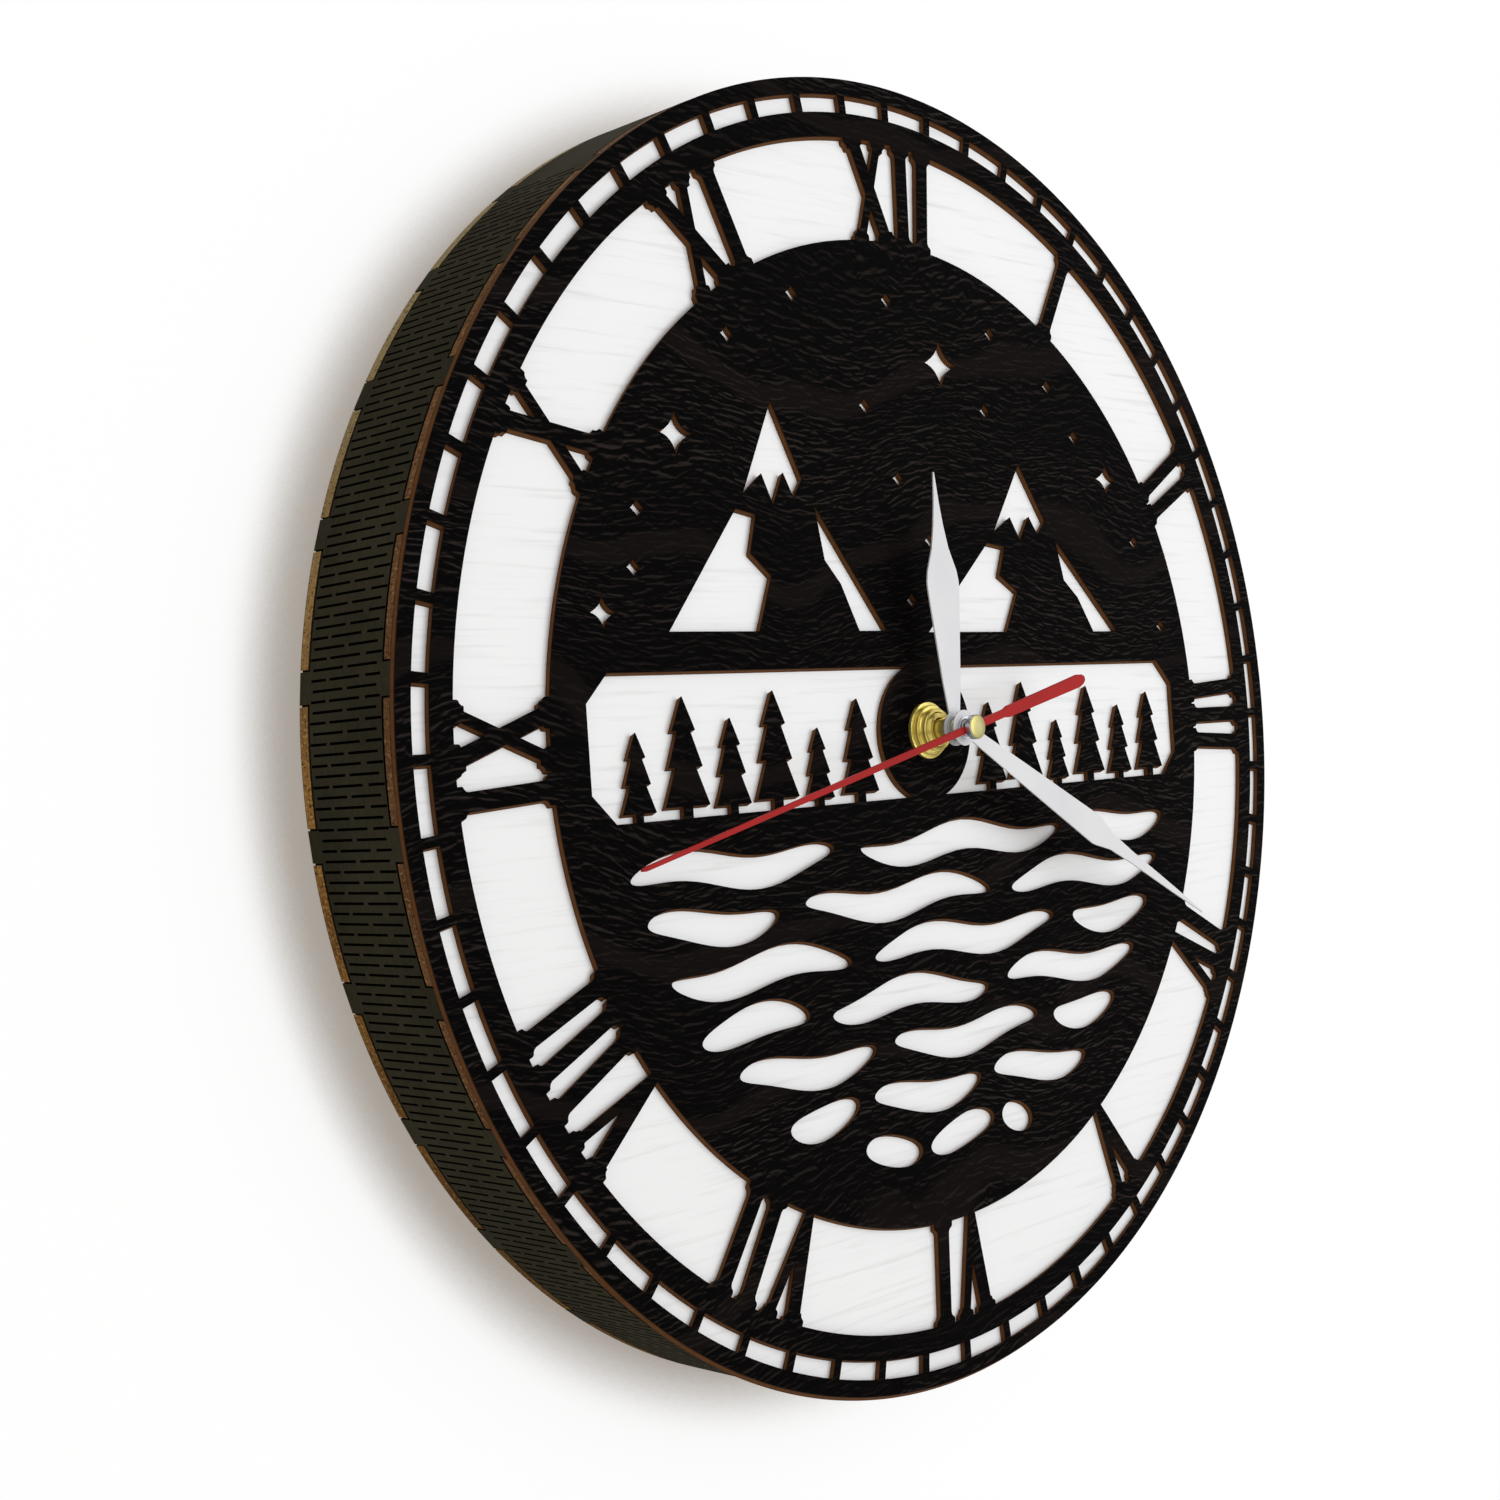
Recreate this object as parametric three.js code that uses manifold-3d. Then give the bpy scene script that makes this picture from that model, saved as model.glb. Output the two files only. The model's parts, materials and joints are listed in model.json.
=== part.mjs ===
// Night light wall clock: a wooden drum case with a cut-out dial over a white plate, a quartz
// movement with its gear train and hands, and a light strip round the inside of the band.
// Millimetres. X runs to the right of someone facing the dial, Y into the wall and Z up.
// The rear face lies in y = 0, and the origin is the point of the keyhole slot that hangs on a screw.
import * as THREE from "three";
import { mergeVertices } from "three/addons/utils/BufferGeometryUtils.js";
import Module from "manifold-3d";

const wasm = await Module();
wasm.setup();

// Drum case
const CASE_RADIUS = 150;
const DIAL_THICK = 1.5;
const PLATE_THICK = 2.0;
const BAND_DEPTH = 24.4;
const BAND_THICK = 3.0;
const BACK_THICK = 2.8;
const TAB_COUNT = 31;
const TAB_DEGREES = 2.4;
const TAB_PHASE = 8.73;
const TAB_CLEAR = 0.15;
const GAP_STEPS = 2;
const RIM_STEPS = 72;

// Back plate
const HANG_INSET = 38;
const HANG_RISE = CASE_RADIUS - HANG_INSET;
const SLOT_RADIUS = 2.3;
const KEYHOLE_RADIUS = 4.8;
const KEYHOLE_DROP = 9;
const WINDOW_MARGIN = 10;
const WINDOW_CORNER = 8;
const WINDOW_STEPS = 4;

// Dial openings
const MINUTE_COUNT = 60;
const MINUTE_INSET = 3.6;
const MINUTE_TALL = 4.1;
const MINUTE_BAR = 2.0;
const TRACK_SPACE = 5.4;
const NUMERAL_TALL = 23.3;
const MINUTE_OUTER = CASE_RADIUS - MINUTE_INSET;
const MINUTE_INNER = MINUTE_OUTER - MINUTE_TALL;
const NUMERAL_OUTER = MINUTE_INNER - TRACK_SPACE;
const NUMERAL_INNER = NUMERAL_OUTER - NUMERAL_TALL;
const CUT_OVERLAP = 1;

// Numerals; an X reaches from its middle to the middles of its strokes' ends, a V's wedge narrows to
// its foot and is split down to its crotch, and an I before a V is tucked in under it
const NUMERALS = ["XII", "I", "II", "III", "IV", "V", "VI", "VII", "VIII", "IX", "X", "XI"];
const THICK_STROKE = 3.75;
const THIN_STROKE = 2.35;
const STROKE_SPACE = 3.5;
const CROSS_REACH = 4.5;
const WEDGE_HALF = 5.4;
const WEDGE_FOOT = [-1.75, 0.2];
const WEDGE_CROTCH = [0.25, 11];
const WEDGE_TUCK = 1.4;
const SERIF_OVERHANG = 1.2;
const SERIF_HEIGHT = 2.0;

// Night landscape, drawn for a field of this radius and scaled to the dial's; trees are listed from
// the outer ends inwards in shares of the band's height, firs in shares of their own height, and
// snow in shares of a peak's half width and height
const FIELD_DRAWN = 112.5;
const FIELD_SCALE = NUMERAL_INNER / FIELD_DRAWN;
const TREE_BAND_HALF = 15;
const TREE_BAND_MARGIN = 9.5;
const TREE_BAND_REACH = FIELD_DRAWN - TREE_BAND_MARGIN;
const TREE_BAND_INSET = 6;
const BOSS_LAP = 1;
const BOSS_RADIUS = TREE_BAND_HALF + BOSS_LAP;
const BOSS_STEPS = 10;
const TREE_FIRST_SHARE = 0.88;
const TREE_PITCH_SHARE = 0.13;
const LEFT_TREE_SHARES = [0.6, 0.83, 0.67, 0.85, 0.57, 0.77];
const RIGHT_TREE_SHARES = [0.73, 0.63, 0.8, 0.53, 0.85, 0.7];
const FIR_SIDE = [
  [0.05, 0], [0.05, 0.1], [0.25, 0.1], [0.11, 0.42], [0.19, 0.42], [0.07, 0.72], [0.13, 0.72], [0, 1],
];
const PEAK_SPACE = 6;
const PEAK_FOOT = TREE_BAND_HALF + PEAK_SPACE;
const PEAKS = [{ x: -45, half: 40, height: 52 }, { x: 42, half: 45, height: 43 }];
const SNOW_CAP = [
  [0, 1], [0.21, 0.68], [0.13, 0.6], [0.06, 0.7], [-0.03, 0.56], [-0.11, 0.69], [-0.26, 0.6],
];
const LIT_FLANK = [
  [-0.32, 0.54], [-0.17, 0.52], [-0.23, 0.36], [-0.08, 0.27], [-0.2, 0.04], [-0.86, 0.04],
];
const RIDGE = [[0.29, 0.58], [0.84, 0.04], [0.6, 0.04], [0.47, 0.24], [0.35, 0.34]];
const BIG_STARS = [[14, 86, 7.5], [-74, 64, 6], [79, 62, 5.5], [-97, 27, 4.5]];
const SMALL_STARS = [
  [-57, 86], [-36, 97], [-14, 74], [-4, 99], [34, 95], [30, 76], [56, 84], [66, 72], [90, 46],
  [100, 24], [-86, 48], [-88, 36], [-4, 58], [6, 44], [-2, 30],
];
const SMALL_STAR = 2.0;
const STAR_WAIST = 0.24;
const LAKE_ROWS = 7;
const LAKE_SPACE = 11;
const LAKE_TOP = TREE_BAND_HALF + LAKE_SPACE;
const LAKE_WAVE = 7.4;
const LAKE_MARGIN = 14.5;
const LAKE_FOOT = 4.8;
const LAKE_REACH = FIELD_DRAWN - LAKE_MARGIN;
const LAKE_PITCH = (LAKE_REACH - LAKE_FOOT - LAKE_TOP) / (LAKE_ROWS - 1);
const LAKE_SWELL = 1.6;
const LAKE_LENGTH = 46;
const LAKE_STEP = 11;
const LAKE_SPLITS = [[[-1, -0.36], [-0.27, 0.52], [0.61, 1]], [[-1, -0.58], [-0.49, 0.22], [0.31, 1]]];

// Hands, as [distance from the axis, half width]
const HOUR_ANGLE = -1.9;
const MINUTE_ANGLE = 118.8;
const SECOND_ANGLE = 257.1;
const HOUR_BLADE = [
  [2.2, 1.75], [10.4, 3.1], [31.1, 5.55], [33.7, 5.7], [36.3, 5.2], [41.5, 3.0], [46.6, 1.8],
  [51.8, 0.95], [59, 0.15],
];
const MINUTE_BLADE = [
  [2.2, 1.6], [30, 2.8], [53, 3.7], [55.6, 3.8], [57.8, 3.4], [63, 2.1], [72, 1.5], [93, 0.8], [107.3, 0.15],
];
const SECOND_ROD = [[-1, 0.85], [60, 0.65], [106, 0.45], [107, 0.2]];
const SECOND_TAIL = [[-1, 0.95], [12.5, 0.95], [14, 1.35], [43.5, 1.6], [45.3, 1.2], [46.3, 0.5]];
const HAND_THICK = 0.4;
const SECOND_THICK = 0.6;
const HOUR_HUB = 4.0;
const MINUTE_HUB = 4.1;
const SECOND_HUB = 2.0;
const HOUR_HEIGHT = 8.4;
const MINUTE_HEIGHT = 11.0;
const SECOND_HEIGHT = 13.0;
const COLLAR_WALL = 0.75;
const COLLAR_HEIGHT = 0.6;
const CAP_RADIUS = 2.8;
const CAP_HEIGHT = 1.7;
const CAP_EDGE = 0.35;

// Shaft stack
const FIT = 0.03;
const RUN = 0.1;
const SLIDE = 0.2;
const SHAFT_SIDES = 16;
const SMALL_SIDES = 10;
const FIXING_SIDES = 20;
const SECOND_ARBOR = 0.7;
const MINUTE_BORE = 1.1;
const MINUTE_TUBE = 1.75;
const HOUR_BORE = 2.0;
const HOUR_TUBE = 2.5;
const BUSH_BORE = 2.75;
const BUSH_RADIUS = 3.9;
const BUSH_FLANGE = 5.0;
const BUSH_FLANGE_THICK = 0.6;
const BUSH_PROUD = 0.7;
const BUSH_HOLE_CLEAR = 0.15;
const SHAFT_HOLE = BUSH_RADIUS + BUSH_HOLE_CLEAR;
const WASHER_RADIUS = 6.6;
const WASHER_THICK = 0.9;
const NUT_RADIUS = 5.8;
const NUT_CROWN = 4.9;
const NUT_STEP = 1.2;
const NUT_HEIGHT = 2.7;
const RUBBER_RADIUS = 10;
const RUBBER_THICK = 1.0;

// Movement
const MOVEMENT_WALL = 1.8;
const FRONT_WALL = 1.6;
const COVER_THICK = 1.5;
const BATTERY_RADIUS = 7.1;
const BATTERY_LENGTH = 50.5;
const BATTERY_NUB = 2.6;
const BATTERY_NUB_LENGTH = 1.6;
const BATTERY_CLEAR = 0.3;
const CONTACT_THICK = 0.4;
const CONTACT_WIDTH = 9;
const CONTACT_INSET = 1;
const WHEEL_THICK = 0.9;
const LAYER_GAP = 0.5;
const PINION_OVER = 0.15;
const BRIDGE_THICK = 0.7;
const ARBOR_RADIUS = 0.5;
const ADDENDUM = 0.7;
const DEDENDUM = 1.5;
const TIP_SHARE = 0.08;
const TRAIN_CENTRE = 10;
const STEP_CENTRE = 9.5;
const ROTOR_CENTRE = 8.1;
const MOTION_CENTRE = 9;
const THIRD_DIRECTION = -60;
const STEP_DIRECTION = 10;
const ROTOR_DIRECTION = 60;
const MOTION_DIRECTION = 70;
const TEETH = {
  rotor: 6, step: 30, stepPinion: 6, second: 36, secondPinion: 6, third: 45, thirdPinion: 6, centre: 48,
  minute: 9, motion: 27, motionPinion: 8, hour: 32, knob: 9,
};
const MAGNET_RADIUS = 3.0;
const MAGNET_THICK = 1.8;
const ROTOR_HUB = 0.9;
const STATOR_THICK = 0.9;
const STATOR_LEFT = 4.6;
const STATOR_RIGHT = 13;
const STATOR_EDGE = 4.2;
const STATOR_LEG = 3.0;
const STATOR_AIR = 0.5;
const COIL_RADIUS = 2.7;
const COIL_CLEAR = 0.6;
const CORE_THICK = 0.9;
const CORE_WIDTH = 2.4;
const BOARD_WIDTH = 15;
const BOARD_HEIGHT = 11;
const BOARD_THICK = 1.0;
const BOARD_STANDOFF = 2.4;
const POST_RADIUS = 1.4;
const POST_INSET = 2.8;
const CHIP_SIZE = 5;
const CHIP_THICK = 1.0;
const CHIP_INSET = 1.0;
const CRYSTAL_RADIUS = 1.0;
const CRYSTAL_LENGTH = 6;
const KNOB_ARBOR = 1.0;
const KNOB_RADIUS = 5.5;
const KNOB_THICK = 4.0;
const KNOB_RIBS = 18;
const KNOB_RIB_DEPTH = 0.35;

// Night light
const INLET_DIRECTION = 180;
const BUTTON_SPACING = 9;
const BUTTON_DIRECTION = INLET_DIRECTION - BUTTON_SPACING;
const STRIP_SPACING = 20;
const STRIP_START = INLET_DIRECTION + STRIP_SPACING;
const STRIP_WIDTH = 8;
const STRIP_THICK = 0.5;
const STRIP_GAP = 0.3;
const STRIP_SWEEP = 320;
const LAMP_SIZE = 5;
const LAMP_HEIGHT = 1.4;
const LAMP_COUNT = 24;
const BARREL_RADIUS = 3.85;
const BARREL_CLEAR = 0.3;
const BARREL_LENGTH = 16;
const SOCKET_RADIUS = 2.75;
const SOCKET_DEPTH = 9.5;
const PIN_RADIUS = 1.0;
const PIN_LENGTH = 8.5;
const FLANGE_RADIUS = 5.8;
const FLANGE_THICK = 0.9;
const FITTING_GAP = 0.3;
const FITTING_NUT = 6.0;
const FITTING_NUT_THICK = 2.4;
const FITTING_SIDES = 16;
const BUTTON_BARREL = 4.6;
const BUTTON_FLANGE = 6.3;
const BUTTON_NUT = 6.75;
const BUTTON_LENGTH = 12;
const BUTTON_BORE = 3.6;
const BUTTON_LIP = 2.9;
const BUTTON_LIP_THICK = 1.2;
const BUTTON_STEM = 2.6;
const BUTTON_PROUD = 2.2;
const BUTTON_BASE_THICK = 1.5;
const BUTTON_FLOOR = 1.5;
const BUTTON_EDGE = 0.5;
const DRIVER_WIDTH = 48;
const DRIVER_HEIGHT = 18;
const DRIVER_DEPTH = 10;
const DRIVER_INSET = 45;
const DRIVER_DROP = CASE_RADIUS - DRIVER_INSET;
const LEAD_RADIUS = 1.1;
const LEAD_SIDES = 6;
const LEAD_STEPS = 10;
const LEAD_RUN = 5;
const LEAD_GAP = 0.1;
const LEAD_LANDING = 1.5;

// Depths, from the rear face to the dial
const BACK_FRONT = -BACK_THICK;
const PLATE_REAR = BACK_FRONT - BAND_DEPTH;
const DIAL_REAR = PLATE_REAR - PLATE_THICK;
const FACE = DIAL_REAR - DIAL_THICK;
const MID_DEPTH = (BACK_FRONT + PLATE_REAR) / 2;
const BAND_INNER = CASE_RADIUS - BAND_THICK;

// Depths inside the movement, from the dial to the rear
const CASE_FRONT = PLATE_REAR + RUBBER_THICK;
const CHAMBER_FRONT = CASE_FRONT + FRONT_WALL;
const CASE_REAR = CHAMBER_FRONT + BATTERY_CLEAR + 2 * BATTERY_RADIUS;
const COVER_FRONT = CASE_REAR - COVER_THICK;
const HOUR_LAYER = CHAMBER_FRONT + BUSH_FLANGE_THICK + LAYER_GAP;
const MOTION_LAYER = HOUR_LAYER + WHEEL_THICK + LAYER_GAP;
const CENTRE_LAYER = MOTION_LAYER + WHEEL_THICK + LAYER_GAP;
const BRIDGE_FRONT = CENTRE_LAYER + WHEEL_THICK + LAYER_GAP;
const BRIDGE_REAR = BRIDGE_FRONT + BRIDGE_THICK;
const SECOND_LAYER = BRIDGE_REAR + LAYER_GAP;
const THIRD_LAYER = SECOND_LAYER + WHEEL_THICK + LAYER_GAP;
const STEP_LAYER = THIRD_LAYER + WHEEL_THICK + LAYER_GAP;

// A point of the dial plane by its radius and its angle clockwise from twelve
const RADIAN = Math.PI / 180;
function onDial(radius, degrees) {
  return [radius * Math.sin(degrees * RADIAN), radius * Math.cos(degrees * RADIAN)];
}

function offset([x, z], radius, degrees) {
  const [dx, dz] = onDial(radius, degrees);
  return [x + dx, z + dz];
}

function arc(radius, from, to, steps) {
  return Array.from({ length: steps + 1 }, (_, i) => onDial(radius, from + ((to - from) * i) / steps));
}

function circle(radius, steps, [x, z] = [0, 0]) {
  return arc(radius, 0, 360, steps).slice(1).map(([px, pz]) => [px + x, pz + z]);
}

function rectangle(left, right, low, high) {
  return [[left, low], [right, low], [right, high], [left, high]];
}

function sector(inner, outer, from, to, steps) {
  return [...arc(outer, from, to, steps), ...arc(inner, to, from, steps)];
}

// Pivots of the train in the dial plane
const CENTRE_AXIS = [0, 0];
const THIRD_AXIS = onDial(TRAIN_CENTRE, THIRD_DIRECTION);
const STEP_AXIS = onDial(STEP_CENTRE, STEP_DIRECTION);
const ROTOR_AXIS = offset(STEP_AXIS, ROTOR_CENTRE, ROTOR_DIRECTION);
const MOTION_AXIS = onDial(MOTION_CENTRE, MOTION_DIRECTION);
const KNOB_AXIS = offset(MOTION_AXIS, MOTION_CENTRE, MOTION_DIRECTION);

// Outline of the movement case in the dial plane
const CENTRE_MODULE = (2 * TRAIN_CENTRE) / (TEETH.centre + TEETH.thirdPinion);
const DIVIDER_HIGH = -(CENTRE_MODULE * (TEETH.centre / 2 + ADDENDUM) + LAYER_GAP);
const BAY_HIGH = DIVIDER_HIGH - MOVEMENT_WALL;
const BAY_LOW = BAY_HIGH - 2 * (BATTERY_RADIUS + BATTERY_CLEAR);
const BAY_HALF = BATTERY_LENGTH / 2 + CONTACT_THICK + BATTERY_CLEAR;
const COIL_Z = ROTOR_AXIS[1] + STATOR_EDGE + COIL_RADIUS + COIL_CLEAR;
const CHAMBER_HIGH = COIL_Z + COIL_RADIUS + COIL_CLEAR;
const CASE_HALF = BAY_HALF + MOVEMENT_WALL;
const CASE_LOW = BAY_LOW - MOVEMENT_WALL;
const CASE_HIGH = CHAMBER_HIGH + MOVEMENT_WALL;

// Solids
function solidOf(geometry) {
  geometry.deleteAttribute("normal");
  geometry.deleteAttribute("uv");
  const merged = mergeVertices(geometry);
  return new wasm.Manifold(new wasm.Mesh({
    numProp: 3,
    vertProperties: new Float32Array(merged.attributes.position.array),
    triVerts: new Uint32Array(merged.index.array),
  }));
}

function geometryOf(solid) {
  const { vertProperties, triVerts } = solid.getMesh();
  const geometry = new THREE.BufferGeometry();
  geometry.setAttribute("position", new THREE.BufferAttribute(vertProperties, 3));
  geometry.setIndex(new THREE.BufferAttribute(triVerts, 1));
  geometry.computeVertexNormals();
  return geometry;
}

function joined(solids) {
  return solids.reduce((whole, solid) => whole.add(solid));
}

function shapeOf(outline) {
  return new THREE.Shape(outline.map(([x, z]) => new THREE.Vector2(x, z)));
}

// An outline of the dial plane, given depth between two values of Y
function prism(outline, front, rear) {
  const geometry = new THREE.ExtrudeGeometry(shapeOf(outline), { depth: rear - front, bevelEnabled: false });
  geometry.rotateX(Math.PI / 2);
  geometry.translate(0, rear, 0);
  return solidOf(geometry);
}

function rod(radius, front, rear, centre = CENTRE_AXIS, sides = SHAFT_SIDES) {
  return prism(circle(radius, sides, centre), front, rear);
}

function ring(outer, inner, front, rear, centre = CENTRE_AXIS, sides = SHAFT_SIDES) {
  const bore = rod(inner, front - CUT_OVERLAP, rear + CUT_OVERLAP, centre, sides);
  return rod(outer, front, rear, centre, sides).subtract(bore);
}

// Rounds of the fixing at the shaft
function fixingRod(radius, front, rear) {
  return rod(radius, front, rear, CENTRE_AXIS, FIXING_SIDES);
}

function fixingRing(outer, inner, front, rear) {
  return ring(outer, inner, front, rear, CENTRE_AXIS, FIXING_SIDES);
}

function box(left, right, front, rear, low, high) {
  return prism(rectangle(left, right, low, high), front, rear);
}

// A profile of [radius, height] pairs from foot to top, closed through the axis and turned about Y
function lathe(profile, sides) {
  return new THREE.LatheGeometry(profile.map(([radius, height]) => new THREE.Vector2(radius, height)), sides);
}

// A fitting of the band: its profile's heights run outwards from the axis of the clock
function turned(profile, degrees) {
  const geometry = lathe(profile, FITTING_SIDES);
  geometry.rotateX(Math.PI / 2);
  geometry.translate(0, MID_DEPTH, 0);
  geometry.rotateY(degrees * RADIAN);
  return solidOf(geometry);
}

// Gears: straight-sided teeth, cut deep enough to roll freely on their centres
function gear(teeth, size, phase, front, rear, [x, z]) {
  const pitch = 360 / teeth;
  const tip = size * (teeth / 2 + ADDENDUM);
  const root = size * (teeth / 2 - DEDENDUM);
  const outline = [];
  for (let k = 0; k < teeth; k++) {
    const middle = phase + k * pitch;
    outline.push(onDial(tip, middle - TIP_SHARE * pitch));
    outline.push(onDial(tip, middle + TIP_SHARE * pitch));
    outline.push(onDial(root, middle + pitch / 2));
  }
  return prism(outline.map(([px, pz]) => [px + x, pz + z]), front, rear);
}

function direction([x, z], [toX, toZ]) {
  return Math.atan2(toX - x, toZ - z) / RADIAN;
}

// The turn of a gear that puts its gaps on the teeth of the gear it runs with
function meshed(phase, teeth, axis, otherTeeth, otherAxis) {
  const line = direction(axis, otherAxis);
  return line + 180 - ((phase - line) * teeth) / otherTeeth + 180 / otherTeeth;
}

function wheelAt(teeth, size, phase, layer, axis) {
  return gear(teeth, size, phase, layer, layer + WHEEL_THICK, axis);
}

function pinionAt(teeth, size, phase, layer, axis) {
  return gear(teeth, size, phase, layer - PINION_OVER, layer + WHEEL_THICK + PINION_OVER, axis);
}

// Finishes
function finish(color, roughness, metalness) {
  return new THREE.MeshStandardMaterial({ color, roughness, metalness });
}
const BLACK_WOOD = finish(0x120f0d, 0.6, 0);
const WHITE_PAINT = finish(0xf1f1ef, 0.5, 0);
const DARK_BAND = finish(0x2a2922, 0.7, 0);
const BROWN_PLY = finish(0x8a6238, 0.7, 0);
const WHITE_METAL = finish(0xe2e2e4, 0.35, 0.2);
const RED_METAL = finish(0xa3201e, 0.4, 0.1);
const SILVER = finish(0xb9bcc0, 0.25, 1);
const BRASS = finish(0xc7a93a, 0.25, 1);
const CAP_METAL = finish(0xd8cf8a, 0.3, 0.6);
const BLACK_PLASTIC = finish(0x17171a, 0.5, 0);
const GREY_PLASTIC = finish(0x55565a, 0.5, 0);
const GEAR_PLASTIC = finish(0xe8e4da, 0.45, 0);
const RUBBER = finish(0x1c1c1c, 0.9, 0);
const IRON = finish(0x7b7e82, 0.4, 1);
const COPPER = finish(0xa85a2c, 0.35, 1);
const GREEN_BOARD = finish(0x1f6b3a, 0.5, 0);
const BATTERY_SKIN = finish(0x2f3b46, 0.35, 0.3);
const STRIP_WHITE = finish(0xf4f1e2, 0.5, 0);

const clock = new THREE.Group();
clock.position.z = -HANG_RISE;

function addPiece(name, solid, material, parent = clock) {
  const mesh = new THREE.Mesh(geometryOf(solid), material);
  mesh.name = name;
  parent.add(mesh);
}

// Angles round the rim at which tabs start
const TAB_PITCH = 360 / TAB_COUNT;
const TAB_STARTS = Array.from({ length: TAB_COUNT }, (_, k) => TAB_PHASE - TAB_DEGREES / 2 + k * TAB_PITCH);
const TAB_CLEAR_DEGREES = TAB_CLEAR / CASE_RADIUS / RADIAN;

function rimOutline(radius) {
  return TAB_STARTS.flatMap((start) => {
    const gap = arc(radius, start + TAB_DEGREES, start + TAB_PITCH, GAP_STEPS);
    return [onDial(radius, start), ...gap.slice(0, -1)];
  });
}

// A round plate whose edge is notched to let the tabs of the band through
function notchedPlate(front, rear) {
  const floor = BAND_INNER - TAB_CLEAR;
  const outline = TAB_STARTS.flatMap((start) => {
    const open = start - TAB_CLEAR_DEGREES;
    const shut = start + TAB_DEGREES + TAB_CLEAR_DEGREES;
    const edge = arc(CASE_RADIUS, shut, open + TAB_PITCH, GAP_STEPS);
    return [onDial(floor, open), onDial(floor, shut), ...edge];
  });
  return prism(outline, front, rear);
}

// The band: tabs on both edges, and round holes for the two fittings at the bottom
function buildBand() {
  const drum = prism(rimOutline(CASE_RADIUS), DIAL_REAR, 0);
  const hollow = prism(rimOutline(BAND_INNER), DIAL_REAR - CUT_OVERLAP, CUT_OVERLAP);
  const notches = TAB_STARTS.flatMap((start) => {
    const from = start + TAB_DEGREES;
    const to = start + TAB_PITCH;
    const outline = sector(BAND_INNER - CUT_OVERLAP, CASE_RADIUS + CUT_OVERLAP, from, to, GAP_STEPS);
    return [prism(outline, DIAL_REAR - CUT_OVERLAP, PLATE_REAR), prism(outline, BACK_FRONT, CUT_OVERLAP)];
  });
  const inletHole = radialHole(BARREL_RADIUS + BARREL_CLEAR, INLET_DIRECTION);
  const buttonHole = radialHole(BUTTON_BARREL + BARREL_CLEAR, BUTTON_DIRECTION);
  addPiece("side_band", drum.subtract(joined([hollow, ...notches, inletHole, buttonHole])), DARK_BAND);
}

function radialHole(radius, degrees) {
  const low = BAND_INNER - CUT_OVERLAP;
  const high = CASE_RADIUS + CUT_OVERLAP;
  return turned([[0, low], [radius, low], [radius, high], [0, high]], degrees);
}

// Roman numerals: straight letters, each turned to its place with its foot towards the centre
const NUMERAL_MIDDLE = (NUMERAL_OUTER + NUMERAL_INNER) / 2;
const NUMERAL_REACH = NUMERAL_TALL + CUT_OVERLAP;
const SERIF_LEVEL = NUMERAL_TALL - SERIF_HEIGHT;

function stroke(low, high, width) {
  const levels = [[-CUT_OVERLAP, true], [SERIF_HEIGHT, false], [SERIF_LEVEL, false], [NUMERAL_REACH, true]];
  const side = (sign) => levels.map(([level, wide]) => {
    const middle = low + ((high - low) * level) / NUMERAL_TALL;
    return [middle + sign * (width / 2 + (wide ? SERIF_OVERHANG : 0)), level];
  });
  return [...side(1), ...side(-1).reverse()];
}

// Top of a wedge's stroke from its left edge to its right, under and over its serif
function wedgeTop(left, right) {
  return [
    [left, SERIF_LEVEL], [left - SERIF_OVERHANG, NUMERAL_REACH],
    [right + SERIF_OVERHANG, NUMERAL_REACH], [right, SERIF_LEVEL],
  ];
}

function wedge() {
  const [footLeft, footRight] = WEDGE_FOOT.map((across) => [across, -CUT_OVERLAP]);
  return [
    [...wedgeTop(-WEDGE_HALF, THICK_STROKE - WEDGE_HALF), WEDGE_CROTCH, footRight, footLeft],
    [...wedgeTop(WEDGE_HALF - THIN_STROKE, WEDGE_HALF), footRight, WEDGE_CROTCH],
  ];
}

const CROSS_SIDE = CROSS_REACH + (THICK_STROKE + THIN_STROKE) / 4;
const LETTERS = {
  I: { left: THICK_STROKE / 2, right: THICK_STROKE / 2, strokes: [stroke(0, 0, THICK_STROKE)] },
  V: { left: WEDGE_HALF - WEDGE_TUCK, right: WEDGE_HALF, strokes: wedge() },
  X: {
    left: CROSS_SIDE,
    right: CROSS_SIDE,
    strokes: [
      stroke(CROSS_REACH, -CROSS_REACH, THICK_STROKE),
      stroke(-CROSS_REACH, CROSS_REACH, THIN_STROKE),
    ],
  },
};

function turnedLetter(outline, degrees) {
  return outline.map(([across, level]) => {
    const [x, z] = onDial(NUMERAL_INNER + level, degrees);
    const [sideX, sideZ] = onDial(across, degrees + 90);
    return [x + sideX, z + sideZ];
  });
}

function numeralStrokes(numeral, degrees) {
  const letters = [...numeral].map((letter) => LETTERS[letter]);
  const width = letters.reduce((sum, { left, right }) => sum + left + right + STROKE_SPACE, -STROKE_SPACE);
  let place = -width / 2;
  return letters.flatMap(({ left, right, strokes }) => {
    const turn = degrees + (place + left) / NUMERAL_MIDDLE / RADIAN;
    place += left + right + STROKE_SPACE;
    return strokes.map((outline) => turnedLetter(outline, turn));
  });
}

// Openings of the dial, as outlines
function minuteOpenings() {
  const bar = MINUTE_BAR / MINUTE_INNER / RADIAN;
  const pitch = 360 / MINUTE_COUNT;
  return Array.from({ length: MINUTE_COUNT }, (_, k) => {
    return sector(MINUTE_INNER, MINUTE_OUTER, k * pitch + bar / 2, (k + 1) * pitch - bar / 2, 1);
  });
}

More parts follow.
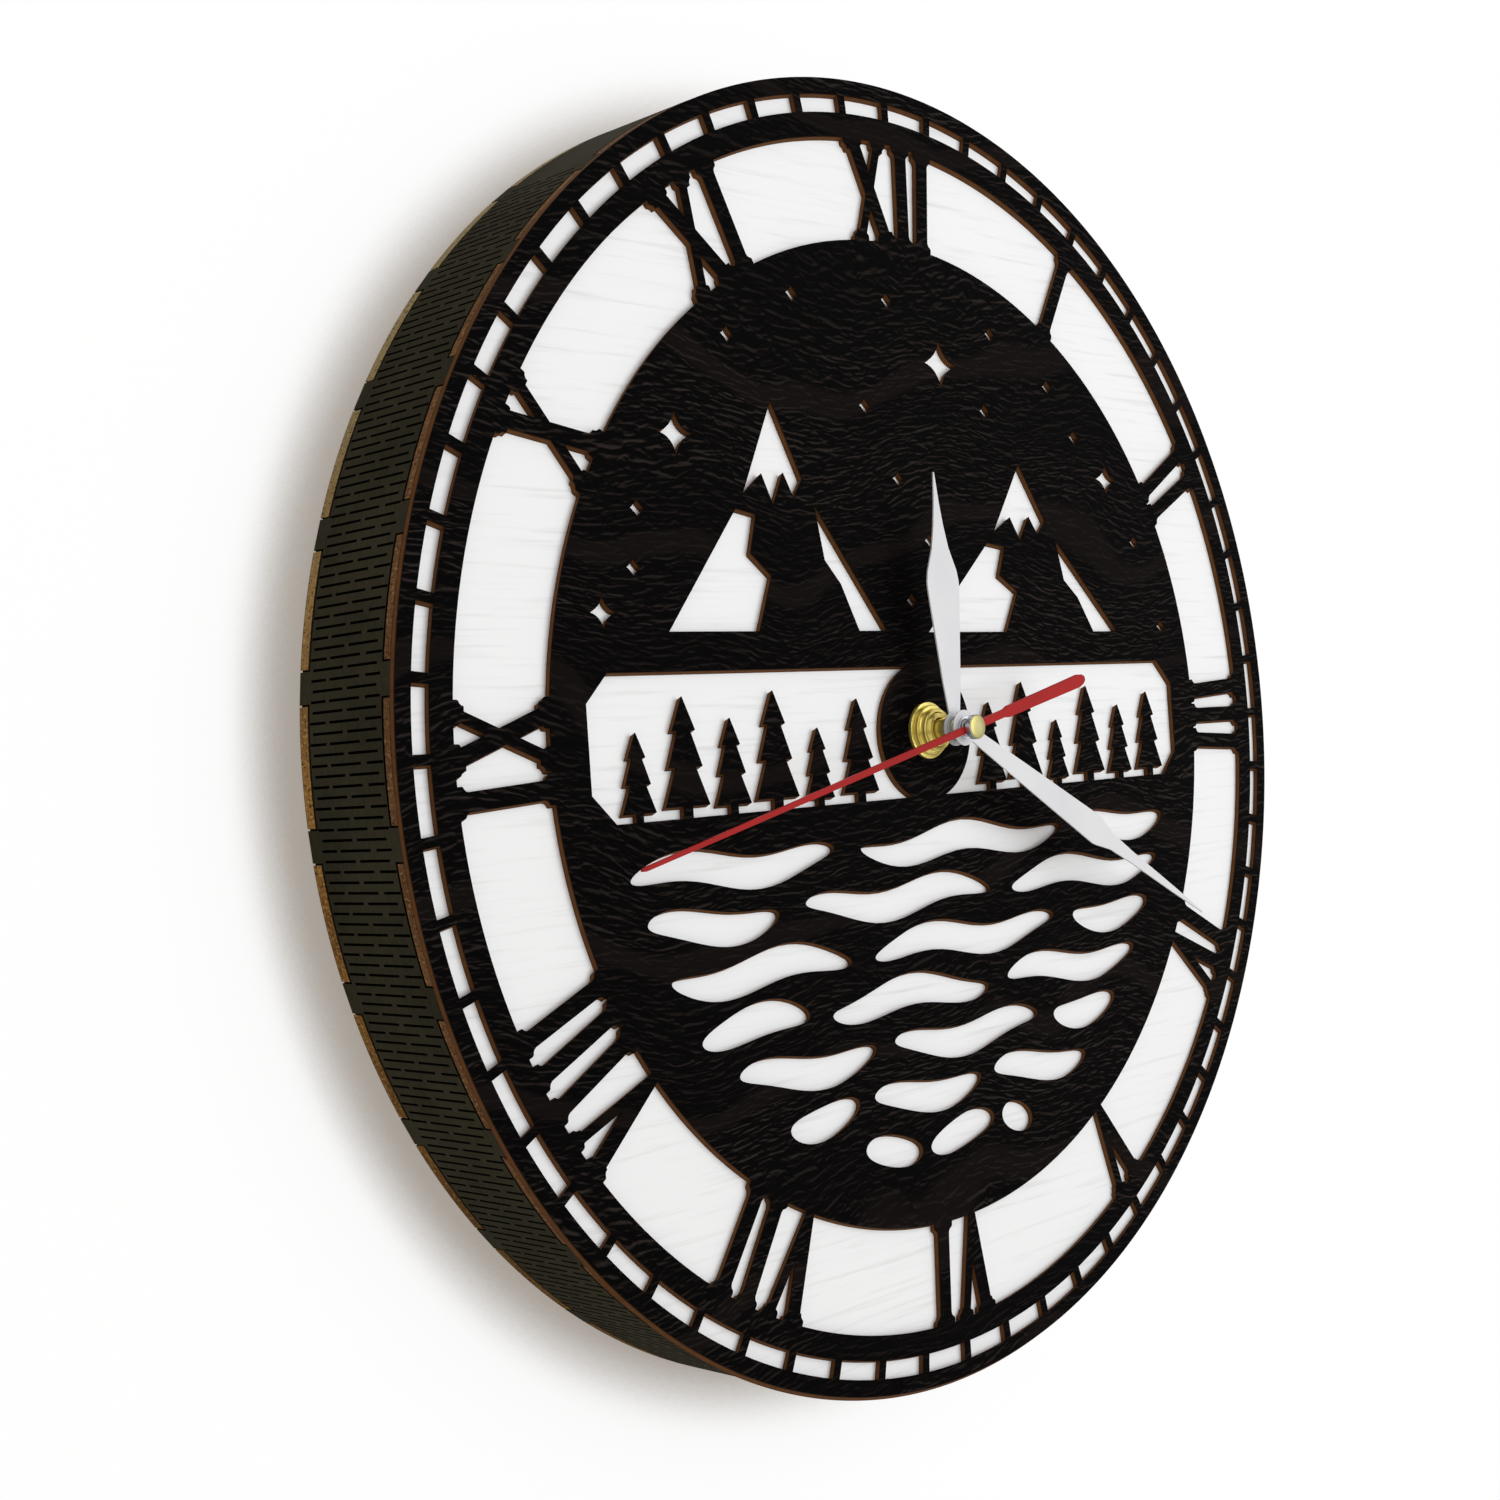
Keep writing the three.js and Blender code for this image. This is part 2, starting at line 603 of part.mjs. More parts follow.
function tree(share, order, end) {
  const x = end * TREE_BAND_REACH * (TREE_FIRST_SHARE - order * TREE_PITCH_SHARE);
  const height = share * 2 * TREE_BAND_HALF;
  const side = (sign) => FIR_SIDE.map(([across, up]) => {
    return [x + sign * across * height, up * height - TREE_BAND_HALF];
  });
  return [...side(-1), ...side(1).slice(0, -1).reverse()];
}

// The two halves of the tree line, either side of the boss that carries the shaft
function treeOpenings() {
  const end = Math.acos(TREE_BAND_HALF / BOSS_RADIUS) / RADIAN;
  const outer = TREE_BAND_REACH - TREE_BAND_INSET;
  const left = [
    [-outer, TREE_BAND_HALF], [-TREE_BAND_REACH, TREE_BAND_HALF - TREE_BAND_INSET],
    [-TREE_BAND_REACH, TREE_BAND_INSET - TREE_BAND_HALF], [-outer, -TREE_BAND_HALF],
    ...LEFT_TREE_SHARES.flatMap((share, order) => tree(share, order, -1)),
    ...arc(BOSS_RADIUS, 180 + end, 360 - end, BOSS_STEPS),
  ];
  const right = [
    [outer, TREE_BAND_HALF], [TREE_BAND_REACH, TREE_BAND_HALF - TREE_BAND_INSET],
    [TREE_BAND_REACH, TREE_BAND_INSET - TREE_BAND_HALF], [outer, -TREE_BAND_HALF],
    ...RIGHT_TREE_SHARES.flatMap((share, order) => tree(share, order, 1).reverse()),
    ...arc(BOSS_RADIUS, 180 - end, end, BOSS_STEPS),
  ];
  return [left, right];
}

// Snow on each peak: a ragged cap, a lit flank and a thin ridge
function peakOpenings({ x, half, height }) {
  const placed = ([across, up]) => [x + across * half, PEAK_FOOT + up * height];
  return [SNOW_CAP, LIT_FLANK, RIDGE].map((outline) => outline.map(placed));
}

function star([x, z, size]) {
  return Array.from({ length: 8 }, (_, k) => offset([x, z], k % 2 ? size * STAR_WAIST : size, 45 * k));
}

function smallStar([x, z]) {
  return circle(SMALL_STAR, 4, [x, z]);
}

// Light on water: rows of lens shapes that ride on a swell
function lakeOpenings() {
  const rows = Array.from({ length: LAKE_ROWS }, (_, row) => row);
  return rows.flatMap((row) => {
    const level = -(LAKE_TOP + row * LAKE_PITCH);
    const reach = Math.sqrt(LAKE_REACH ** 2 - level ** 2);
    return LAKE_SPLITS[row % 2].map(([from, to]) => lens(from * reach, to * reach, level, row));
  });
}

function lens(from, to, level, phase) {
  const steps = Math.max(3, Math.round((to - from) / LAKE_STEP));
  const side = (sign) => Array.from({ length: steps + 1 }, (_, k) => {
    const along = k / steps;
    const x = from + (to - from) * along;
    const swell = LAKE_SWELL * Math.sin((2 * Math.PI * x) / LAKE_LENGTH + phase);
    const bulge = Math.sqrt(along * (1 - along)) * LAKE_WAVE;
    return [x, level + swell + sign * bulge];
  });
  return [...side(1), ...side(-1).slice(1, -1).reverse()];
}

function buildDial() {
  const front = FACE - CUT_OVERLAP;
  const rear = DIAL_REAR + CUT_OVERLAP;
  const landscape = [
    ...treeOpenings(), ...PEAKS.flatMap(peakOpenings), ...BIG_STARS.map(star),
    ...SMALL_STARS.map(smallStar), ...lakeOpenings(),
  ];
  const fitted = landscape.map((outline) => outline.map(([x, z]) => [x * FIELD_SCALE, z * FIELD_SCALE]));
  const outlines = [...minuteOpenings(), ...fitted, circle(SHAFT_HOLE, FIXING_SIDES)];
  const hourPitch = 360 / NUMERALS.length;
  const strokes = NUMERALS.flatMap((numeral, hour) => numeralStrokes(numeral, hour * hourPitch));
  const numeralRing = ring(NUMERAL_OUTER, NUMERAL_INNER, front, rear, CENTRE_AXIS, RIM_STEPS);
  const kept = joined(strokes.map((outline) => prism(outline, front - CUT_OVERLAP, rear + CUT_OVERLAP)));
  const openings = joined(outlines.map((outline) => prism(outline, front, rear)));
  const disc = rod(CASE_RADIUS, FACE, DIAL_REAR, CENTRE_AXIS, RIM_STEPS);
  addPiece("front_dial", disc.subtract(openings).subtract(numeralRing.subtract(kept)), BLACK_WOOD);
}

function buildPlates() {
  const shaftHole = fixingRod(SHAFT_HOLE, DIAL_REAR - CUT_OVERLAP, PLATE_REAR + CUT_OVERLAP);
  addPiece("white_plate", notchedPlate(DIAL_REAR, PLATE_REAR).subtract(shaftHole), WHITE_PAINT);

  const cut = [BACK_FRONT - CUT_OVERLAP, CUT_OVERLAP];
  const half = CASE_HALF + WINDOW_MARGIN;
  const low = CASE_LOW - WINDOW_MARGIN;
  const high = CASE_HIGH + WINDOW_MARGIN;
  const corners = [[half, high, 0], [half, low, 90], [-half, low, 180], [-half, high, 270]];
  const window = corners.flatMap(([x, z, from]) => {
    const centre = [x - Math.sign(x) * WINDOW_CORNER, z - Math.sign(z) * WINDOW_CORNER];
    const corner = arc(WINDOW_CORNER, from, from + 90, WINDOW_STEPS);
    return corner.map(([px, pz]) => [px + centre[0], pz + centre[1]]);
  });
  const slot = joined([
    rod(SLOT_RADIUS, ...cut, [0, HANG_RISE]),
    box(-SLOT_RADIUS, SLOT_RADIUS, ...cut, HANG_RISE - KEYHOLE_DROP, HANG_RISE),
    rod(KEYHOLE_RADIUS, ...cut, [0, HANG_RISE - KEYHOLE_DROP], FIXING_SIDES),
  ]);
  const back = notchedPlate(BACK_FRONT, 0).subtract(prism(window, ...cut)).subtract(slot);
  addPiece("back_plate", back, BROWN_PLY);
}

// Hands: a blade through its stations, a round hub and a bore for the tube it is pressed on
function blade(stations, degrees) {
  const side = (sign) => stations.map(([along, half]) => {
    return offset(onDial(along, degrees), sign * half, degrees + 90);
  });
  return [...side(1), ...side(-1).reverse()];
}

function hand(outlines, hub, bore, front, thick) {
  const rear = front + thick;
  const body = joined([...outlines.map((outline) => prism(outline, front, rear)), rod(hub, front, rear)]);
  return body.subtract(rod(bore, front - CUT_OVERLAP, rear + CUT_OVERLAP));
}

function collar(bore, front) {
  return ring(bore + COLLAR_WALL, bore, front, front + COLLAR_HEIGHT);
}

const HOUR_FRONT = FACE - HOUR_HEIGHT - HAND_THICK;
const MINUTE_FRONT = FACE - MINUTE_HEIGHT - HAND_THICK;
const SECOND_FRONT = FACE - SECOND_HEIGHT - SECOND_THICK;

function buildHands() {
  const hourBore = HOUR_TUBE + FIT;
  const hourBlade = blade(HOUR_BLADE, HOUR_ANGLE);
  addPiece("hour_hand", hand([hourBlade], HOUR_HUB, hourBore, HOUR_FRONT, HAND_THICK), WHITE_METAL);
  addPiece("hour_collar", collar(hourBore, HOUR_FRONT - COLLAR_HEIGHT), SILVER);

  const minuteBore = MINUTE_TUBE + FIT;
  const minuteBlade = blade(MINUTE_BLADE, MINUTE_ANGLE);
  addPiece("minute_hand", hand([minuteBlade], MINUTE_HUB, minuteBore, MINUTE_FRONT, HAND_THICK), WHITE_METAL);
  addPiece("minute_collar", collar(minuteBore, MINUTE_FRONT - COLLAR_HEIGHT), SILVER);

  const secondBore = SECOND_ARBOR + FIT;
  const outlines = [blade(SECOND_ROD, SECOND_ANGLE), blade(SECOND_TAIL, SECOND_ANGLE + 180)];
  addPiece("second_hand", hand(outlines, SECOND_HUB, secondBore, SECOND_FRONT, SECOND_THICK), RED_METAL);
  addPiece("second_collar", collar(secondBore, SECOND_FRONT + SECOND_THICK), SILVER);

  const cap = lathe([
    [0, 0], [CAP_RADIUS, 0], [CAP_RADIUS, CAP_HEIGHT - CAP_EDGE], [CAP_RADIUS - CAP_EDGE, CAP_HEIGHT],
    [0, CAP_HEIGHT],
  ], FIXING_SIDES);
  cap.rotateX(Math.PI);
  cap.translate(0, SECOND_FRONT, 0);
  addPiece("second_cap", solidOf(cap), CAP_METAL);
}

// What holds the movement to the dial
function buildFixing() {
  const bore = BUSH_RADIUS + RUN;
  const nutRear = FACE - WASHER_THICK;
  const nutFront = nutRear - NUT_HEIGHT;
  addPiece("brass_washer", fixingRing(WASHER_RADIUS, bore, nutRear, FACE), BRASS);
  const crown = fixingRing(NUT_CROWN, bore, nutFront, nutRear);
  addPiece("brass_nut", crown.add(fixingRing(NUT_RADIUS, bore, nutRear - NUT_STEP, nutRear)), BRASS);

  const bushRear = CHAMBER_FRONT + BUSH_FLANGE_THICK;
  const barrel = fixingRing(BUSH_RADIUS, BUSH_BORE, nutFront - BUSH_PROUD, bushRear);
  const bushFlange = fixingRing(BUSH_FLANGE, BUSH_BORE, CHAMBER_FRONT, bushRear);
  addPiece("threaded_bush", barrel.add(bushFlange), BRASS);
  addPiece("rubber_washer", fixingRing(RUBBER_RADIUS, bore, PLATE_REAR, CASE_FRONT), RUBBER);
}

// Movement housing
const BRIDGE_HALF = BAY_HALF - BATTERY_CLEAR;
const BRIDGE_LOW = DIVIDER_HIGH + BATTERY_CLEAR;
const BRIDGE_HIGH = COIL_Z - COIL_RADIUS - COIL_CLEAR;
const BOARD_LEFT = COIL_CLEAR - BAY_HALF;
const BOARD_HIGH = CHAMBER_HIGH - COIL_CLEAR;
const BOARD_FRONT = CHAMBER_FRONT + BOARD_STANDOFF;

function buildHousing() {
  const past = CASE_REAR + CUT_OVERLAP;
  const beside = CASE_HALF + CUT_OVERLAP;
  const seatLow = DIVIDER_HIGH - MOVEMENT_WALL / 2;
  const hollows = joined([
    box(-BAY_HALF, BAY_HALF, CHAMBER_FRONT, past, DIVIDER_HIGH, CHAMBER_HIGH),
    box(-BAY_HALF, BAY_HALF, CHAMBER_FRONT, past, BAY_LOW, BAY_HIGH),
    box(-beside, beside, COVER_FRONT, past, seatLow, CASE_HIGH + CUT_OVERLAP),
    fixingRod(BUSH_RADIUS + RUN, CASE_FRONT - CUT_OVERLAP, CHAMBER_FRONT + CUT_OVERLAP),
  ]);
  const postX = BRIDGE_HALF - POST_INSET;
  const postZ = [BRIDGE_LOW + POST_INSET, BRIDGE_HIGH / 2];
  const bridgePosts = [-postX, postX].flatMap((x) => postZ.map((z) => [x, z]));
  const boardX = [BOARD_LEFT + POST_INSET, BOARD_LEFT + BOARD_WIDTH - POST_INSET];
  const boardPosts = boardX.map((x) => [x, BOARD_HIGH - BOARD_HEIGHT / 2]);
  const foot = CHAMBER_FRONT - FRONT_WALL / 2;
  const shell = box(-CASE_HALF, CASE_HALF, CASE_FRONT, CASE_REAR, CASE_LOW, CASE_HIGH).subtract(hollows);
  const posts = [
    ...bridgePosts.map((centre) => rod(POST_RADIUS, foot, BRIDGE_FRONT, centre, SMALL_SIDES)),
    ...boardPosts.map((centre) => rod(POST_RADIUS, foot, BOARD_FRONT, centre, SMALL_SIDES)),
  ];
  addPiece("movement_case", joined([shell, ...posts]), BLACK_PLASTIC);

  const cover = box(-CASE_HALF, CASE_HALF, COVER_FRONT, CASE_REAR, seatLow + RUN, CASE_HIGH);
  const knobHole = rod(KNOB_ARBOR + SLIDE, COVER_FRONT - CUT_OVERLAP, past, KNOB_AXIS);
  addPiece("movement_cover", cover.subtract(knobHole), BLACK_PLASTIC);

  const holes = [[SECOND_ARBOR, CENTRE_AXIS], [ARBOR_RADIUS, THIRD_AXIS], [KNOB_ARBOR, KNOB_AXIS]];
  const bridge = box(-BRIDGE_HALF, BRIDGE_HALF, BRIDGE_FRONT, BRIDGE_REAR, BRIDGE_LOW, BRIDGE_HIGH);
  const cuts = holes.map(([radius, centre]) => {
    return rod(radius + SLIDE, BRIDGE_FRONT - CUT_OVERLAP, BRIDGE_REAR + CUT_OVERLAP, centre);
  });
  addPiece("train_bridge", bridge.subtract(joined(cuts)), GREY_PLASTIC);
}

// Gear train: sizes from the centre distances, turns that put teeth into gaps
function buildTrain() {
  const stepSize = (2 * ROTOR_CENTRE) / (TEETH.rotor + TEETH.step);
  const secondSize = (2 * STEP_CENTRE) / (TEETH.stepPinion + TEETH.second);
  const thirdSize = (2 * TRAIN_CENTRE) / (TEETH.secondPinion + TEETH.third);
  const motionSize = (2 * MOTION_CENTRE) / (TEETH.minute + TEETH.motion);
  const hourSize = (2 * MOTION_CENTRE) / (TEETH.motionPinion + TEETH.hour);
  const rearEnd = COVER_FRONT - RUN;
  const frontEnd = CHAMBER_FRONT + RUN;
  const upperEnd = BRIDGE_REAR + RUN;

  const stepPhase = meshed(0, TEETH.rotor, ROTOR_AXIS, TEETH.step, STEP_AXIS);
  const secondPhase = meshed(0, TEETH.stepPinion, STEP_AXIS, TEETH.second, CENTRE_AXIS);
  const thirdPhase = meshed(0, TEETH.secondPinion, CENTRE_AXIS, TEETH.third, THIRD_AXIS);
  const centrePhase = meshed(0, TEETH.thirdPinion, THIRD_AXIS, TEETH.centre, CENTRE_AXIS);
  const motionPhase = meshed(0, TEETH.minute, CENTRE_AXIS, TEETH.motion, MOTION_AXIS);
  const hourPhase = meshed(0, TEETH.motionPinion, MOTION_AXIS, TEETH.hour, CENTRE_AXIS);
  const knobPhase = meshed(motionPhase, TEETH.motion, MOTION_AXIS, TEETH.knob, KNOB_AXIS);

  const magnetFront = BRIDGE_REAR + STATOR_AIR;
  const magnetRear = magnetFront + MAGNET_THICK;
  const rotor = joined([
    rod(ARBOR_RADIUS, upperEnd, rearEnd, ROTOR_AXIS, SMALL_SIDES),
    rod(ROTOR_HUB, magnetFront, magnetRear, ROTOR_AXIS, SMALL_SIDES),
    pinionAt(TEETH.rotor, stepSize, 0, STEP_LAYER, ROTOR_AXIS),
  ]);
  addPiece("rotor", rotor, GEAR_PLASTIC);
  const magnet = ring(MAGNET_RADIUS, ROTOR_HUB + FIT, magnetFront, magnetRear, ROTOR_AXIS, SMALL_SIDES);
  addPiece("rotor_magnet", magnet, IRON);

  const step = joined([
    rod(ARBOR_RADIUS, upperEnd, rearEnd, STEP_AXIS, SMALL_SIDES),
    wheelAt(TEETH.step, stepSize, stepPhase, STEP_LAYER, STEP_AXIS),
    pinionAt(TEETH.stepPinion, secondSize, 0, SECOND_LAYER, STEP_AXIS),
  ]);
  addPiece("intermediate_wheel", step, GEAR_PLASTIC);

  const second = joined([
    rod(SECOND_ARBOR, SECOND_FRONT, rearEnd, CENTRE_AXIS),
    wheelAt(TEETH.second, secondSize, secondPhase, SECOND_LAYER, CENTRE_AXIS),
    pinionAt(TEETH.secondPinion, thirdSize, 0, THIRD_LAYER, CENTRE_AXIS),
  ]);
  addPiece("second_wheel", second, GEAR_PLASTIC);

  const third = joined([
    rod(ARBOR_RADIUS, frontEnd, rearEnd, THIRD_AXIS, SMALL_SIDES),
    wheelAt(TEETH.third, thirdSize, thirdPhase, THIRD_LAYER, THIRD_AXIS),
    pinionAt(TEETH.thirdPinion, CENTRE_MODULE, 0, CENTRE_LAYER, THIRD_AXIS),
  ]);
  addPiece("third_wheel", third, GEAR_PLASTIC);

  const centreRear = CENTRE_LAYER + WHEEL_THICK;
  const centreBore = rod(MINUTE_TUBE + RUN, CENTRE_LAYER - CUT_OVERLAP, centreRear + CUT_OVERLAP);
  const centre = wheelAt(TEETH.centre, CENTRE_MODULE, centrePhase, CENTRE_LAYER, CENTRE_AXIS);
  addPiece("centre_wheel", centre.subtract(centreBore), GEAR_PLASTIC);

  const minuteTop = MINUTE_FRONT - COLLAR_HEIGHT;
  const minuteRear = centreRear + SLIDE;
  const minute = rod(MINUTE_TUBE, minuteTop, minuteRear)
    .add(pinionAt(TEETH.minute, motionSize, 0, MOTION_LAYER, CENTRE_AXIS))
    .subtract(rod(MINUTE_BORE, minuteTop - CUT_OVERLAP, minuteRear + CUT_OVERLAP));
  addPiece("minute_arbor", minute, SILVER);

  const motion = joined([
    rod(ARBOR_RADIUS, frontEnd, MOTION_LAYER + WHEEL_THICK + PINION_OVER, MOTION_AXIS, SMALL_SIDES),
    wheelAt(TEETH.motion, motionSize, motionPhase, MOTION_LAYER, MOTION_AXIS),
    gear(TEETH.motionPinion, hourSize, 0, HOUR_LAYER - PINION_OVER, MOTION_LAYER + PINION_OVER, MOTION_AXIS),
  ]);
  addPiece("motion_wheel", motion, GEAR_PLASTIC);

  const hourTop = HOUR_FRONT - COLLAR_HEIGHT;
  const hourRear = HOUR_LAYER + WHEEL_THICK;
  const hour = rod(HOUR_TUBE, hourTop, hourRear)
    .add(wheelAt(TEETH.hour, hourSize, hourPhase, HOUR_LAYER, CENTRE_AXIS))
    .subtract(rod(HOUR_BORE, hourTop - CUT_OVERLAP, hourRear + CUT_OVERLAP));
  addPiece("hour_arbor", hour, BRASS);

  const knobFront = CASE_REAR + LAYER_GAP;
  const ribs = Array.from({ length: 2 * KNOB_RIBS }, (_, k) => {
    return offset(KNOB_AXIS, KNOB_RADIUS - (k % 2) * KNOB_RIB_DEPTH, (180 * k) / KNOB_RIBS);
  });
  const knob = joined([
    rod(KNOB_ARBOR, frontEnd, knobFront + KNOB_THICK / 2, KNOB_AXIS),
    pinionAt(TEETH.knob, motionSize, knobPhase, MOTION_LAYER, KNOB_AXIS),
    prism(ribs, knobFront, knobFront + KNOB_THICK),
  ]);
  addPiece("setting_knob", knob, GREY_PLASTIC);
}

// Step motor, circuit and battery
function buildElectrics() {
  const [rotorX, rotorZ] = ROTOR_AXIS;
  const left = rotorX - STATOR_LEFT;
  const right = rotorX + STATOR_RIGHT;
  const low = rotorZ - STATOR_EDGE;
  const waist = rotorZ + STATOR_EDGE;
  const legHigh = COIL_Z + CORE_WIDTH / 2;
  const statorRear = BRIDGE_REAR + STATOR_THICK;
  const frame = prism([
    [left, low], [right, low], [right, legHigh], [right - STATOR_LEG, legHigh], [right - STATOR_LEG, waist],
    [left + STATOR_LEG, waist], [left + STATOR_LEG, legHigh], [left, legHigh],
  ], BRIDGE_REAR, statorRear);
  const bore = circle(MAGNET_RADIUS + STATOR_AIR, FIXING_SIDES, ROTOR_AXIS);
  const poles = prism(bore, BRIDGE_REAR - CUT_OVERLAP, statorRear + CUT_OVERLAP);
  addPiece("stator", frame.subtract(poles), IRON);

  const coreRear = statorRear + CORE_THICK;
  const coreLow = COIL_Z - CORE_WIDTH / 2;
  addPiece("coil_core", box(left, right, statorRear, coreRear, coreLow, legHigh), IRON);
  const coilLeft = left + STATOR_LEG + COIL_CLEAR;
  const coilRight = right - STATOR_LEG - COIL_CLEAR;
  const winding = new THREE.CylinderGeometry(COIL_RADIUS, COIL_RADIUS, coilRight - coilLeft, FIXING_SIDES);
  winding.rotateZ(Math.PI / 2);
  winding.translate((coilLeft + coilRight) / 2, (statorRear + coreRear) / 2, COIL_Z);
  const slot = box(left, right, statorRear - RUN, coreRear + RUN, coreLow - RUN, legHigh + RUN);
  addPiece("coil", solidOf(winding).subtract(slot), COPPER);

  const boardRear = BOARD_FRONT + BOARD_THICK;
  const boardRight = BOARD_LEFT + BOARD_WIDTH;
  const boardLow = BOARD_HIGH - BOARD_HEIGHT;
  const board = box(BOARD_LEFT, boardRight, BOARD_FRONT, boardRear, boardLow, BOARD_HIGH);
  addPiece("circuit_board", board, GREEN_BOARD);
  const chipX = (BOARD_LEFT + boardRight) / 2;
  const chipLow = boardLow + CHIP_INSET;
  const chipOutline = rectangle(chipX - CHIP_SIZE / 2, chipX + CHIP_SIZE / 2, chipLow, chipLow + CHIP_SIZE);
  addPiece("control_chip", prism(chipOutline, boardRear, boardRear + CHIP_THICK), BLACK_PLASTIC);
  const crystal = new THREE.CylinderGeometry(CRYSTAL_RADIUS, CRYSTAL_RADIUS, CRYSTAL_LENGTH, SMALL_SIDES);
  crystal.rotateZ(Math.PI / 2);
  crystal.translate(chipX, boardRear + CRYSTAL_RADIUS, BOARD_HIGH - 2 * CRYSTAL_RADIUS);
  addPiece("crystal", solidOf(crystal), SILVER);

  const bayZ = (BAY_HIGH + BAY_LOW) / 2;
  const batteryY = CASE_REAR - BATTERY_RADIUS;
  const shoulder = BATTERY_LENGTH - BATTERY_NUB_LENGTH;
  const cell = lathe([
    [0, 0], [BATTERY_RADIUS, 0], [BATTERY_RADIUS, shoulder], [BATTERY_NUB, shoulder],
    [BATTERY_NUB, BATTERY_LENGTH], [0, BATTERY_LENGTH],
  ], FIXING_SIDES);
  cell.rotateZ(Math.PI / 2);
  cell.translate(BATTERY_LENGTH / 2, batteryY, bayZ);
  addPiece("battery", solidOf(cell), BATTERY_SKIN);
  const contact = (inner, outer) => {
    const outline = rectangle(inner, outer, bayZ - CONTACT_WIDTH / 2, bayZ + CONTACT_WIDTH / 2);
    return prism(outline, CHAMBER_FRONT + CONTACT_INSET, CASE_REAR - CONTACT_INSET);
  };
  addPiece("contact_plus", contact(-BAY_HALF, CONTACT_THICK - BAY_HALF), SILVER);
  addPiece("contact_minus", contact(BAY_HALF - CONTACT_THICK, BAY_HALF), SILVER);
}

// Night light: the strip round the band, its inlet, button, driver and leads
const STRIP_OUTER = BAND_INNER - STRIP_GAP;
const STRIP_INNER = STRIP_OUTER - STRIP_THICK;
const FLANGE_LOW = CASE_RADIUS + FITTING_GAP;
const FLANGE_HIGH = FLANGE_LOW + FLANGE_THICK;
const NUT_SEAT = BAND_INNER - FITTING_GAP - FITTING_NUT ** 2 / (2 * BAND_INNER);
const [DRIVER_X, DRIVER_Z] = onDial(DRIVER_DROP, INLET_DIRECTION);
const DRIVER_LOW = DRIVER_Z - DRIVER_HEIGHT / 2;
const DRIVER_Y = BACK_FRONT - DRIVER_DEPTH / 2;

function buildStrip() {
  const low = MID_DEPTH - STRIP_WIDTH / 2;
  const high = MID_DEPTH + STRIP_WIDTH / 2;
  const end = STRIP_START + STRIP_SWEEP;
  const tape = prism(sector(STRIP_INNER, STRIP_OUTER, STRIP_START, end, 2 * LAMP_COUNT), low, high);
  const lamps = Array.from({ length: LAMP_COUNT }, (_, k) => {
    const lamp = new THREE.BoxGeometry(LAMP_SIZE, LAMP_SIZE, LAMP_HEIGHT + STRIP_THICK / 2);
    lamp.translate(0, MID_DEPTH, STRIP_INNER + (STRIP_THICK / 2 - LAMP_HEIGHT) / 2);
    lamp.rotateY((STRIP_START + ((k + 0.5) * STRIP_SWEEP) / LAMP_COUNT) * RADIAN);
    return solidOf(lamp);
  });
  addPiece("light_strip", joined([tape, ...lamps]), STRIP_WHITE);
}

function fittingNut(barrel, radius, degrees) {
  const bore = barrel + RUN;
  const low = NUT_SEAT - FITTING_NUT_THICK;
  const outer = turned([[0, low], [radius, low], [radius, NUT_SEAT], [0, NUT_SEAT]], degrees);
  const past = [low - CUT_OVERLAP, NUT_SEAT + CUT_OVERLAP];
  return outer.subtract(turned([[0, past[0]], [bore, past[0]], [bore, past[1]], [0, past[1]]], degrees));
}

